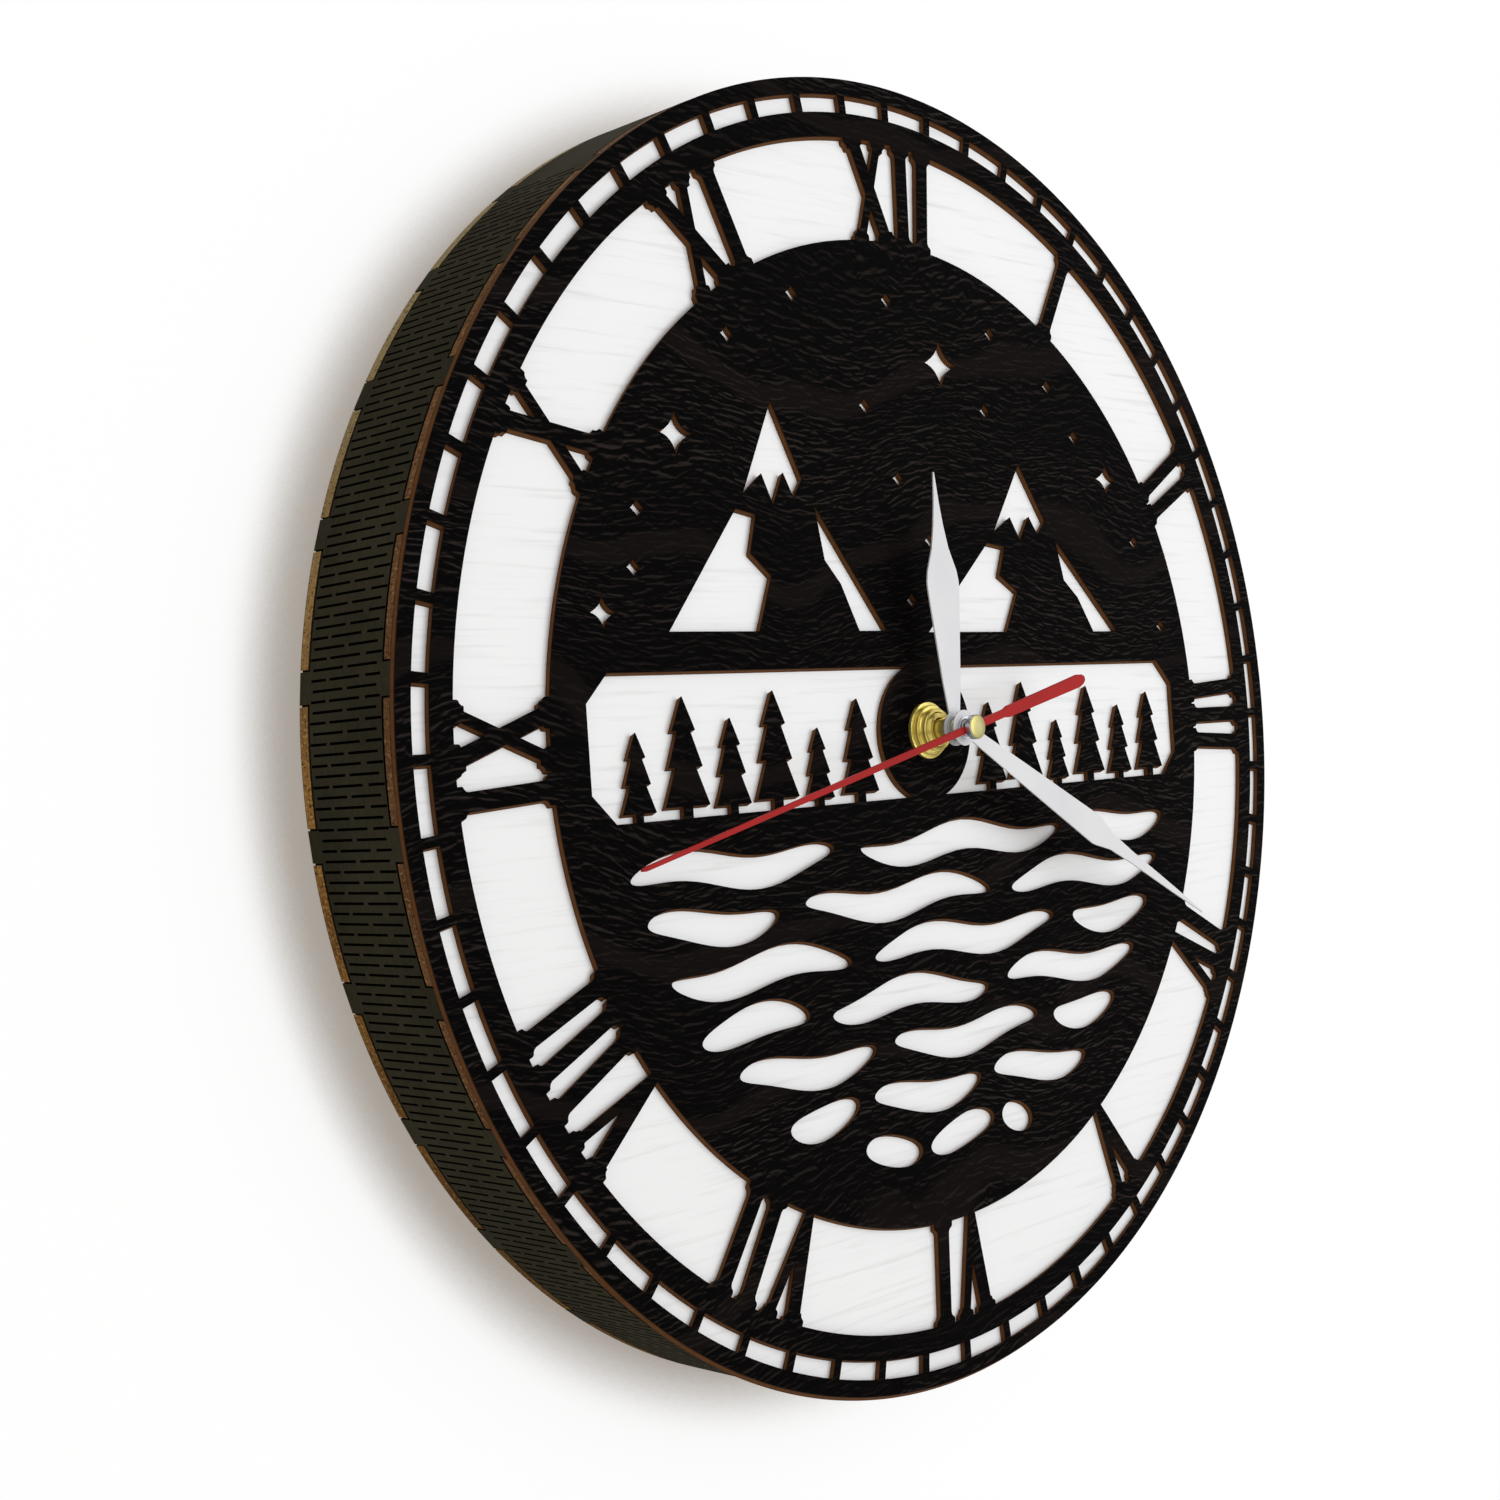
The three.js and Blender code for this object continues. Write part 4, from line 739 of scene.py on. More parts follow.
@dataclass(frozen=True)
class CharredCut(CutWall):
    """Wall of a burnt cut, darkest along its front and rear edges."""

    burnt: Colour = srgb(22, 13, 7)
    brown: Colour = srgb(108, 72, 44)
    streak: Noise = Noise((420.0, 60.0, 420.0))
    streak_least: float = 0.55
    streak_share: float = 0.6
    front_span: Span = (0.02, 0.38)
    rear_span: Span = (0.78, 1.05)
    rear_burn: float = 0.6
    relief: float = 0.05

    def surface(self, graph: Shader) -> Surface:
        """Brown between two scorched edges, streaked through the board.

        Args:
            graph: The material's tree.

        Returns:
            Inputs of the surface shader by name.
        """
        x, y, z = graph.place()
        depth = self.through(y)
        streak = graph.noise(self.streak, x, y, z)
        level = depth.eased(*self.front_span) * (1.0 - depth.eased(*self.rear_span) * self.rear_burn)
        tone = level * (self.streak_least + self.streak_share * streak)
        return {
            "Base Color": graph.mix(tone, self.burnt, self.brown),
            "Normal": graph.bump(streak, self.relief),
        }


@dataclass(frozen=True)
class WhiteBoard(Finish):
    """White painted board with the grain just showing."""

    pale: Colour = srgb(235, 235, 236)
    shade: Colour = srgb(216, 216, 216)
    streak: Noise = Noise((24.0, 0.0, 640.0), 3.0, 0.6)
    streak_span: Span = (0.5, 0.8)
    fleck: Noise = Noise((900.0, 0.0, 900.0), 1.0)
    fleck_share: float = 0.2
    relief: float = 0.03

    def surface(self, graph: Shader) -> Surface:
        """Faint streaks across.

        Args:
            graph: The material's tree.

        Returns:
            Inputs of the surface shader by name.
        """
        place = graph.place()
        streak = graph.noise(self.streak, *place)
        fleck = graph.noise(self.fleck, *place)
        height = streak * (1.0 - self.fleck_share) + fleck * self.fleck_share
        return {
            "Base Color": graph.mix(streak.eased(*self.streak_span), self.pale, self.shade),
            "Normal": graph.bump(height, self.relief),
        }


@dataclass(frozen=True)
class PlyEdge(CutWall):
    """Cut edge of a thin board: plies, pores and scorch marks, with painted light making it paler towards
    the top and painted shade making it darker towards the bottom.
    """

    pale: Colour = srgb(165, 122, 65)
    deep: Colour = srgb(114, 77, 38)
    bright: Colour = srgb(200, 159, 97)
    scorch: Colour = srgb(26, 17, 11)
    # Greyish colour of painted light towards the top of the rim, and shares of painted light and of painted
    # shade; the painted shade below uses the scorch colour.
    painted_light_colour: Colour = srgb(164, 159, 122)
    painted_light_share: float = 0.0
    painted_light_span: Span = (-0.15, 0.7)
    painted_shade_share: float = 0.0
    painted_shade_span: Span = (-0.7, 0.0)
    plies: float = 3.0
    ply_share: float = 0.35
    patch: Noise = Noise((7.0, 120.0, 0.0), 2.0)
    patch_span: Span = (0.3, 0.7)
    pores: Noise = Noise((240.0, 800.0, 0.0), 4.0, 0.7)
    fleck: Noise = Noise((190.0, 900.0, 0.0), 3.0, 0.65, layer=4.0)
    fleck_span: Span = (0.5, 0.66)
    mark_share: float = 0.75
    front_span: Span = (-0.02, 0.14)
    rear_span: Span = (0.88, 1.02)
    notch_span: Span = (0.1 * MM, 0.4 * MM)
    relief: float = 0.08

    def surface(self, graph: Shader) -> Surface:
        """Bands through the depth, broken by pores along the rim, with painted light above and painted shade
        below.

        Args:
            graph: The material's tree.

        Returns:
            Inputs of the surface shader by name.
        """
        x, y, z = graph.place()
        depth, turn = self.through(y), graph.turn(x, z)
        patch, pores, fleck = (
            graph.noise(pattern, turn, y, 0.0) for pattern in (self.patch, self.pores, self.fleck)
        )
        ply = (depth * (self.plies * math.pi)).sine() ** 2.0
        plain = ply * self.ply_share + patch.eased(*self.patch_span) * (1.0 - self.ply_share)
        wood = graph.mix(plain, self.deep, self.pale)
        wood = graph.mix(fleck.eased(*self.fleck_span) * self.mark_share, wood, self.bright)
        # Painted light makes the edge paler towards the top of the rim and painted shade, in the scorch
        # colour, makes it darker towards the bottom.
        height = (z - AXIS.z) / (RIM * MM)
        wood = graph.mix(height.eased(*self.painted_light_span) * self.painted_light_share, wood, self.painted_light_colour)
        wood = graph.mix((1.0 - height.eased(*self.painted_shade_span)) * self.painted_shade_share, wood, self.scorch)
        inside = depth.eased(*self.front_span) * (1.0 - depth.eased(*self.rear_span))
        notched = (RIM * MM - graph.radius(x, z)).eased(*self.notch_span)
        marks = (1.0 - inside + pores.eased(*self.fleck_span)) * self.mark_share + notched
        return {
            "Base Color": graph.mix(marks.eased(0.0, 1.0), wood, self.scorch),
            "Normal": graph.bump(pores, self.relief),
        }


@dataclass(frozen=True)
class PlyFace(Finish):
    """Face of a plain board, its grain running across."""

    pale: Colour = srgb(186, 148, 100)
    deep: Colour = srgb(140, 100, 60)
    scorch: Colour = srgb(30, 20, 12)
    drift: Noise = Noise((6.0, 0.0, 9.0), 2.0)
    sway: float = 0.02
    grain: Noise = Noise((10.0, 0.0, 260.0), 4.0, 0.6)
    grain_span: Span = (0.3, 0.7)
    pores: Noise = Noise((90.0, 0.0, 1900.0), 2.0, layer=5.0)
    pore_span: Span = (0.6, 0.75)
    pore_share: float = 0.5
    burn_span: Span = ((RIM - 0.8) * MM, (RIM - 0.2) * MM)
    relief: float = 0.05

    def surface(self, graph: Shader) -> Surface:
        """Long grain with short dark pores, scorched along the rim.

        Args:
            graph: The material's tree.

        Returns:
            Inputs of the surface shader by name.
        """
        x, y, z = graph.place()
        wavy = z + (graph.noise(self.drift, x, y, z) - 0.5) * self.sway
        grain = graph.noise(self.grain, x, y, wavy)
        pores = graph.noise(self.pores, x, y, wavy)
        tone = graph.mix(grain.eased(*self.grain_span), self.pale, self.deep)
        wood = graph.mix(pores.eased(*self.pore_span) * self.pore_share, tone, self.deep)
        burn = graph.radius(x, z).eased(*self.burn_span)
        height = grain * (1.0 - self.pore_share) + pores * self.pore_share
        return {
            "Base Color": graph.mix(burn, wood, self.scorch),
            "Normal": graph.bump(height, self.relief),
        }


@dataclass(frozen=True)
class BandStain(Finish):
    """Bent board stained dark and matt, with a fine tooth."""

    dark: Colour = srgb(42, 40, 30)
    light: Colour = srgb(64, 61, 49)
    fibre: Noise = Noise((60.0, 900.0, 0.0), 3.0, 0.6)
    fibre_span: Span = (0.3, 0.75)
    fibre_share: float = 0.3
    tooth: Noise = Noise((1800.0,) * 3, 2.0)
    tooth_share: float = 0.3
    cloud: Noise = Noise((50.0,) * 3)
    cloud_span: Span = (0.3, 0.7)
    cloud_share: float = 0.4
    relief: float = 0.05

    def surface(self, graph: Shader) -> Surface:
        """Fine tooth and short fibres along the rim over cloudy patches.

        Args:
            graph: The material's tree.

        Returns:
            Inputs of the surface shader by name.
        """
        x, y, z = graph.place()
        fibre = graph.noise(self.fibre, graph.turn(x, z), y, 0.0)
        tooth = graph.noise(self.tooth, x, y, z)
        cloud = graph.noise(self.cloud, x, y, z)
        fine = fibre.eased(*self.fibre_span) * self.fibre_share + tooth * self.tooth_share
        tone = fine + cloud.eased(*self.cloud_span) * self.cloud_share
        return {
            "Base Color": graph.mix(tone, self.dark, self.light),
            "Normal": graph.bump((fibre + tooth) / 2.0, self.relief),
        }


@dataclass(frozen=True)
class Coat(Finish):
    """Even coat of paint, enamel, rubber or moulded plastic with a slight texture."""

    colour: Colour = srgb(200, 200, 200)
    shade: Colour = srgb(180, 180, 180)
    cloud: Noise = Noise((60.0,) * 3, 2.0)
    cloud_span: Span = (0.25, 0.75)
    texture: Noise = Noise((2500.0,) * 3, 1.0)
    spread: float = 0.1
    relief: float = 0.01

    def texture_place(self, graph: Shader) -> tuple[Any, ...]:
        """Coordinates that the texture follows."""
        return graph.place()

    def surface(self, graph: Shader) -> Surface:
        """A faint change of tone and a fine texture in shine and relief.

        Args:
            graph: The material's tree.

        Returns:
            Inputs of the surface shader by name.
        """
        cloud = graph.noise(self.cloud, *graph.place())
        texture = graph.noise(self.texture, *self.texture_place(graph))
        return {
            "Base Color": graph.mix(cloud.eased(*self.cloud_span), self.colour, self.shade),
            "Roughness": self.roughness + (texture - 0.5) * self.spread,
            "Normal": graph.bump(texture, self.relief),
        }


@dataclass(frozen=True)
class TurnedMetal(Coat):
    """Bright metal with fine turning marks about the clock's axis."""

    metallic: float = 1.0
    cloud: Noise = Noise((300.0,) * 3, 2.0)
    cloud_span: Span = (0.3, 0.8)
    texture: Noise = Noise((9000.0, 9000.0, 0.0), 2.0)
    spread: float = 0.12
    relief: float = 0.006

    def texture_place(self, graph: Shader) -> tuple[Any, ...]:
        """Distance from the axis and depth."""
        x, y, z = graph.place()
        return graph.radius(x, z), y, 0.0


@dataclass(frozen=True)
class PrintedSleeve(Finish):
    """Sleeve of a cell: a dark end, a pale line and a grey body, by the place along it."""

    body: Colour = srgb(122, 130, 136)
    end: Colour = srgb(52, 58, 66)
    line: Colour = srgb(206, 206, 204)
    end_place: float = -12.0
    line_width: float = 1.2
    wrinkle: Noise = Noise((90.0, 400.0, 400.0), 2.0)
    wrinkle_span: Span = (0.45, 0.8)
    wrinkle_share: float = 0.15
    spread: float = 0.1
    relief: float = 0.04

    def surface(self, graph: Shader) -> Surface:
        """Three fields along the cell with a faint wrinkle.

        Args:
            graph: The material's tree.

        Returns:
            Inputs of the surface shader by name.
        """
        x, y, z = graph.place()
        along = (x - AXIS.x) / MM
        wrinkle = graph.noise(self.wrinkle, x, y, z)
        past_end = along.above(self.end_place - self.line_width)
        past_line = along.above(self.end_place)
        field = graph.mix(past_line, graph.mix(past_end, self.end, self.line), self.body)
        worn = wrinkle.eased(*self.wrinkle_span) * self.wrinkle_share
        return {
            "Base Color": graph.mix(worn, field, self.line),
            "Roughness": self.roughness + (wrinkle - 0.5) * self.spread,
            "Normal": graph.bump(wrinkle, self.relief),
        }


STAIN = StainedFace("black stained board", 0.62, 0.01)
DIAL_CUT = CharredCut("charred dial cut", 0.8, 0.03, depth=depths("front_dial"))
# Near-black walls and floor of the slits: partly char, partly painted shade standing in for the dark seen
# through a cut that runs right through the band.
SLIT = CharredCut(
    "charred slit with painted shade", 0.85, 0.05, depth=BAND_DEPTHS, burnt=srgb(2, 2, 1), brown=srgb(6, 5, 4)
)
WHITE = WhiteBoard("white board", 0.55, 0.3)
FRONT_EDGE = PlyEdge(
    "front board edge", 0.8, 0.03, depth=depths("white_plate"), pale=srgb(126, 92, 62),
    deep=srgb(92, 65, 43), bright=srgb(160, 124, 84),
)
# The rear board's edge gets painted light towards the top and painted shade towards the bottom.
BACK_EDGE = PlyEdge("rear board edge", 0.8, 0.03, depth=depths("back_plate"), painted_light_share=0.6, painted_shade_share=0.5)
BACK_FACE = PlyFace("rear board", 0.65, 0.25)
BAND = BandStain("dark stained band", 0.9, 0.02)
WHITE_HAND = Coat("white hand", 0.4, 0.25, colour=srgb(216, 216, 218), shade=srgb(209, 209, 212))
RED_HAND = Coat("red hand", 0.42, 0.1, colour=srgb(160, 24, 23), shade=srgb(148, 20, 19))
SILVER = TurnedMetal("bright silver", 0.34, colour=srgb(214, 215, 218), shade=srgb(196, 198, 202))
BRASS = TurnedMetal(
    "turned brass", 0.24, metallic=0.6, colour=srgb(226, 208, 120), shade=srgb(210, 188, 92)
)
CAP = TurnedMetal("cap metal", 0.3, colour=srgb(168, 160, 114), shade=srgb(154, 144, 82))
IRON = TurnedMetal("soft iron", 0.42, colour=srgb(150, 152, 156), shade=srgb(118, 120, 124))
COPPER = TurnedMetal("copper wire", 0.35, colour=srgb(190, 104, 58), shade=srgb(160, 80, 42))
BLACK_PLASTIC = Coat("black plastic", 0.48, colour=srgb(26, 26, 29), shade=srgb(20, 20, 22), relief=0.02)
GREY_PLASTIC = Coat("grey plastic", 0.5, colour=srgb(92, 93, 98), shade=srgb(80, 81, 86), relief=0.02)
GEAR_PLASTIC = Coat("gear plastic", 0.42, colour=srgb(236, 232, 221), shade=srgb(226, 220, 206))
RUBBER = Coat("black rubber", 0.85, 0.3, colour=srgb(30, 30, 31), shade=srgb(24, 24, 24), relief=0.03)
BOARD_GREEN = Coat(
    "green board", 0.45, colour=srgb(32, 108, 60), shade=srgb(24, 90, 48),
    texture=Noise((1200.0,) * 3, 1.0),
)
CELL = PrintedSleeve("cell sleeve", 0.32)
PHOSPHOR = Coat("lamp phosphor", 0.4, 0.4, colour=srgb(236, 206, 92), shade=srgb(228, 194, 74))
STRIP = Coat("strip white", 0.5, 0.4, colour=srgb(246, 242, 226), shade=srgb(238, 232, 210))

SLOT_FINISHES = {
    "black_wood": STAIN, "white_paint": WHITE, "brown_ply": BACK_FACE, "dark_band": BAND,
    "white_hand": WHITE_HAND, "red_hand": RED_HAND, "silver": SILVER, "brass": BRASS, "cap_metal": CAP,
    "black_plastic": BLACK_PLASTIC, "grey_plastic": GREY_PLASTIC, "gear_plastic": GEAR_PLASTIC,
    "rubber": RUBBER, "iron": IRON, "copper": COPPER, "green_board": BOARD_GREEN, "battery_skin": CELL,
    "strip_white": STRIP,
}


def settle(
    piece: bpy.types.Object, body: Body, nodes: Sequence[str], finishes: Sequence[Finish] = ()
) -> None:
    """Dresses a new piece and ties it to the frame.

    Args:
        piece: The piece, in place.
        body: The body it moves with.
        nodes: The frame's nodes that it stands for.
        finishes: Finishes of its material slots, where the mesh has none yet.
    """
    for finish in finishes:
        piece.data.materials.append(finish.material())
    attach(piece, body.value)
    if nodes:
        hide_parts(*nodes)
    LOG.info("%s: %d faces on %s", piece.name, len(piece.data.polygons), body.value)


@dataclass(frozen=True)
class Part:
    """A piece that stands for one node of the frame and takes its finish from the node's slot."""

    node: str
    body: Body

    @property
    def name(self) -> str:
        """Name of the piece."""
        return f"{self.node}_piece"

    @property
    def finishes(self) -> tuple[Finish, ...]:
        """Finishes of the piece's material slots."""
        return (SLOT_FINISHES[SLOTS[self.node]],)

    def shape(self) -> bpy.types.Object:
        """The piece in place, not yet dressed."""
        raise NotImplementedError

    def build(self) -> None:
        """Makes the piece."""
        settle(self.shape(), self.body, [self.node], self.finishes)


# The dial

class Letter(Enum):
    """Letters of the Roman numerals."""

    I = "I"
    V = "V"
    X = "X"


@dataclass(frozen=True)
class NumeralStyle:
    """Roman numerals in millimetres: straight letters whose feet stand on the inner circle."""

    inner: float = 113.6
    outer: float = 136.9
    thick: float = 3.75
    thin: float = 2.35
    space: float = 3.5
    cross: float = 4.5
    wedge: float = 5.4
    wedge_foot: Span = (-1.75, 0.2)
    wedge_crotch: Point = (0.25, 10.2)
    wedge_tuck: float = 1.4
    overhang: float = 1.2
    lap: float = 1.0
    flare: tuple[Point, ...] = ((1.0, 1.0), (1.35, 0.85), (1.6, 0.45), (2.0, 0.15), (2.6, 0.0))

    @property
    def tall(self) -> float:
        """Height of the letters."""
        return self.outer - self.inner

    def serif(self, x: float, width: float, at_top: bool) -> Outline:
        """Outline of the serif at one end of a stroke.

        Args:
            x: Middle of the stroke at that end.
            width: Width of the stroke.
            at_top: Whether the end is the letter's top.

        Returns:
            The closed outline in (across, level).
        """
        stations = ((-self.lap, 1.0), *self.flare)
        outline = []
        for sign, order in ((1, stations), (-1, stations[::-1])):
            for level, share in order:
                height = self.tall - level if at_top else level
                outline.append((x + sign * (width / 2 + share * self.overhang), height))
        return outline

    def stroke(self, low: float, high: float, width: float) -> list[Outline]:
        """Outlines of one stroke and its serifs.

        Args:
            low: Middle of the stroke at the foot.
            high: Middle of the stroke at the top.
            width: Width of the stroke.

        Returns:
            The closed outlines in (across, level).
        """
        line = ((low, -self.lap), (low, 0.0), (high, self.tall), (high, self.tall + self.lap))
        left = [(x - width / 2, level) for x, level in line]
        right = [(x + width / 2, level) for x, level in line]
        return [left + right[::-1], self.serif(low, width, False), self.serif(high, width, True)]

    def wedge_strokes(self) -> list[Outline]:
        """Outlines of a V: a wedge split down to its crotch into a thick and a thin stroke.

        Returns:
            The closed outlines in (across, level).
        """
        top = self.tall + self.lap
        foot_left, foot_right = ((across, -self.lap) for across in self.wedge_foot)
        inner_left, inner_right = self.thick - self.wedge, self.wedge - self.thin
        return [
            [
                (-self.wedge, self.tall), (-self.wedge, top), (inner_left, top), (inner_left, self.tall),
                self.wedge_crotch, foot_right, foot_left,
            ],
            [
                (inner_right, self.tall), (inner_right, top), (self.wedge, top), (self.wedge, self.tall),
                foot_right, self.wedge_crotch,
            ],
            self.serif(inner_left - self.thick / 2, self.thick, True),
            self.serif(inner_right + self.thin / 2, self.thin, True),
        ]

    def letter(self, letter: Letter) -> tuple[float, float, list[Outline]]:
        """Reach of a letter to the left and right of its middle, and its outlines.

        Args:
            letter: The letter.

        Returns:
            Its left reach, its right reach and its closed outlines.
        """
        if letter is Letter.I:
            return self.thick / 2, self.thick / 2, self.stroke(0.0, 0.0, self.thick)
        if letter is Letter.V:
            return self.wedge - self.wedge_tuck, self.wedge, self.wedge_strokes()
        side = self.cross + (self.thick + self.thin) / 4
        thick_stroke = self.stroke(self.cross, -self.cross, self.thick)
        return side, side, thick_stroke + self.stroke(-self.cross, self.cross, self.thin)

    def numeral(self, word: str, degrees: float) -> list[Outline]:
        """Outlines of a numeral, its letters turned one by one.

        Args:
            word: The numeral.
            degrees: Its place, clockwise from twelve.

        Returns:
            The outlines in the dial plane.
        """
        letters = [self.letter(Letter(mark)) for mark in word]
        place = -(sum(left + right + self.space for left, right, _ in letters) - self.space) / 2
        middle = (self.inner + self.outer) / 2
        outlines = []
        for left, right, strokes in letters:
            turn = degrees + math.degrees((place + left) / middle)
            outlines += [turned(moved(outline, 0.0, self.inner), turn) for outline in strokes]
            place += left + right + self.space
        return outlines


NUMERALS = ("XII", "I", "II", "III", "IV", "V", "VI", "VII", "VIII", "IX", "X", "XI")
FIR_SIDE = (
    (0.05, 0.0), (0.05, 0.1), (0.25, 0.1), (0.11, 0.42), (0.19, 0.42), (0.07, 0.72), (0.13, 0.72),
    (0.0, 1.0),
)
LEFT_TREES = (0.6, 0.83, 0.67, 0.85, 0.57, 0.77)
RIGHT_TREES = (0.73, 0.63, 0.8, 0.53, 0.85, 0.7)
PEAKS = ((-45.0, 40.0, 52.0), (42.0, 45.0, 43.0))
SNOW = (
    ((0, 1), (0.21, 0.68), (0.13, 0.6), (0.06, 0.7), (-0.03, 0.56), (-0.11, 0.69), (-0.26, 0.6)),
    ((-0.32, 0.54), (-0.17, 0.52), (-0.23, 0.36), (-0.08, 0.27), (-0.2, 0.04), (-0.86, 0.04)),
    ((0.29, 0.58), (0.84, 0.04), (0.6, 0.04), (0.47, 0.24), (0.35, 0.34)),
)
BIG_STARS = ((14, 86, 7.5), (-74, 64, 6), (79, 62, 5.5), (-97, 27, 4.5))
SMALL_STARS = (
    (-57, 86), (-36, 97), (-14, 74), (-4, 99), (34, 95), (30, 76), (56, 84), (66, 72), (90, 46),
    (100, 24), (-86, 48), (-88, 36), (-4, 58), (6, 44), (-2, 30),
)
LAKE_SPLITS = (((-1, -0.36), (-0.27, 0.52), (0.61, 1)), ((-1, -0.58), (-0.49, 0.22), (0.31, 1)))


@dataclass(frozen=True)
class Landscape:
    """Night landscape cut through the middle of the dial, in millimetres before its scale."""

    scale: float = 113.6 / 112.5
    band_half: float = 15.0
    band_reach: float = 103.0
    band_inset: float = 6.0
    boss: float = 16.0
    boss_steps: int = 24
    first_tree: float = 0.88
    tree_pitch: float = 0.13
    peak_foot: float = 21.0
    small_star: float = 2.0
    star_power: float = 3.7
    dot_power: float = 2.4
    star_steps: int = 48
    lake_top: float = 26.0
    lake_pitch: float = 11.2
    lake_reach: float = 98.0
    lake_rows: int = 7
    wave: float = 7.4
    swell: float = 1.6
    wave_length: float = 46.0
    wave_steps: int = 30

    def fir(self, share: float, order: int, end: int) -> Outline:
        """Outline of a fir that stands on the foot of the tree band.

        Args:
            share: Its height as a share of the band's.
            order: Its number, counted from the end of the band.
            end: The end of the band, -1 on the left and 1 on the right.

        Returns:
            The outline from its left foot to its right foot.
        """
        x = end * self.band_reach * (self.first_tree - order * self.tree_pitch)
        height = share * 2 * self.band_half

        def side(sign: int) -> Outline:
            """One side from foot to tip."""
            return [(x + sign * across * height, up * height - self.band_half) for across, up in FIR_SIDE]
        return side(-1) + side(1)[:-1][::-1]

    def tree_line(self, shares: Sequence[float], end: int) -> Outline:
        """Window on one side of the boss, with firs standing in it.

        Args:
            shares: Heights of the firs as shares of the band's.
            end: The side, -1 on the left and 1 on the right.

        Returns:
            The closed outline.
        """
        opening = math.degrees(math.acos(self.band_half / self.boss))
        outer = self.band_reach - self.band_inset
        corners = [
            (outer, self.band_half), (self.band_reach, self.band_half - self.band_inset),
            (self.band_reach, self.band_inset - self.band_half), (outer, -self.band_half),
        ]
        outline = [(end * x, z) for x, z in corners]
        for order, share in enumerate(shares):
            outline += self.fir(share, order, end)[::-end]
        return outline + [(end * x, z) for x, z in arc(self.boss, 180 - opening, opening, self.boss_steps)]

    def star(self, x: float, z: float, size: float, power: float) -> Outline:
        """Star of four points with hollow sides.

        Args:
            x: Place of its middle across.
            z: Place of its middle upwards.
            size: Length of its points.
            power: How hollow its sides are.

        Returns:
            The closed outline.
        """
        def reach(value: float) -> float:
            """Signed power of a sine or cosine."""
            return math.copysign(abs(value) ** power, value) * size
        turns = [2 * math.pi * k / self.star_steps for k in range(self.star_steps)]
        return moved([(reach(math.sin(t)), reach(math.cos(t))) for t in turns], x, z)

    def streak(self, start: float, end: float, level: float, phase: float) -> Outline:
        """Streak of light on the water.

        Args:
            start: Place of its left tip.
            end: Place of its right tip.
            level: Its height on the dial.
            phase: Phase of the swell that it rides on.

        Returns:
            The closed outline.
        """
        def side(sign: int) -> Outline:
            """Upper or lower edge from left to right.

            Args:
                sign: The edge, 1 for the upper and -1 for the lower.

            Returns:
                Its points in order.
            """
            edge = []
            for k in range(self.wave_steps + 1):
                share = (1 - math.cos(math.pi * k / self.wave_steps)) / 2
                x = start + (end - start) * share
                ride = self.swell * math.sin(2 * math.pi * x / self.wave_length + phase)
                edge.append((x, level + ride + sign * math.sqrt(share * (1 - share)) * self.wave))
            return edge
        return side(1) + side(-1)[1:-1][::-1]

    def openings(self) -> list[Outline]:
        """Every opening of the landscape.

        Returns:
            The closed outlines in the dial plane.
        """
        outlines = [self.tree_line(LEFT_TREES, -1), self.tree_line(RIGHT_TREES, 1)]
        for x, half, height in PEAKS:
            outlines += [
                [(x + across * half, self.peak_foot + up * height) for across, up in patch] for patch in SNOW
            ]
        outlines += [self.star(x, z, size, self.star_power) for x, z, size in BIG_STARS]
        outlines += [self.star(x, z, self.small_star, self.dot_power) for x, z in SMALL_STARS]
        for row in range(self.lake_rows):
            level = -(self.lake_top + row * self.lake_pitch)
            reach = math.sqrt(self.lake_reach ** 2 - level ** 2)
            splits = LAKE_SPLITS[row % len(LAKE_SPLITS)]
            outlines += [self.streak(start * reach, end * reach, level, row) for start, end in splits]
        return [[(x * self.scale, z * self.scale) for x, z in outline] for outline in outlines]


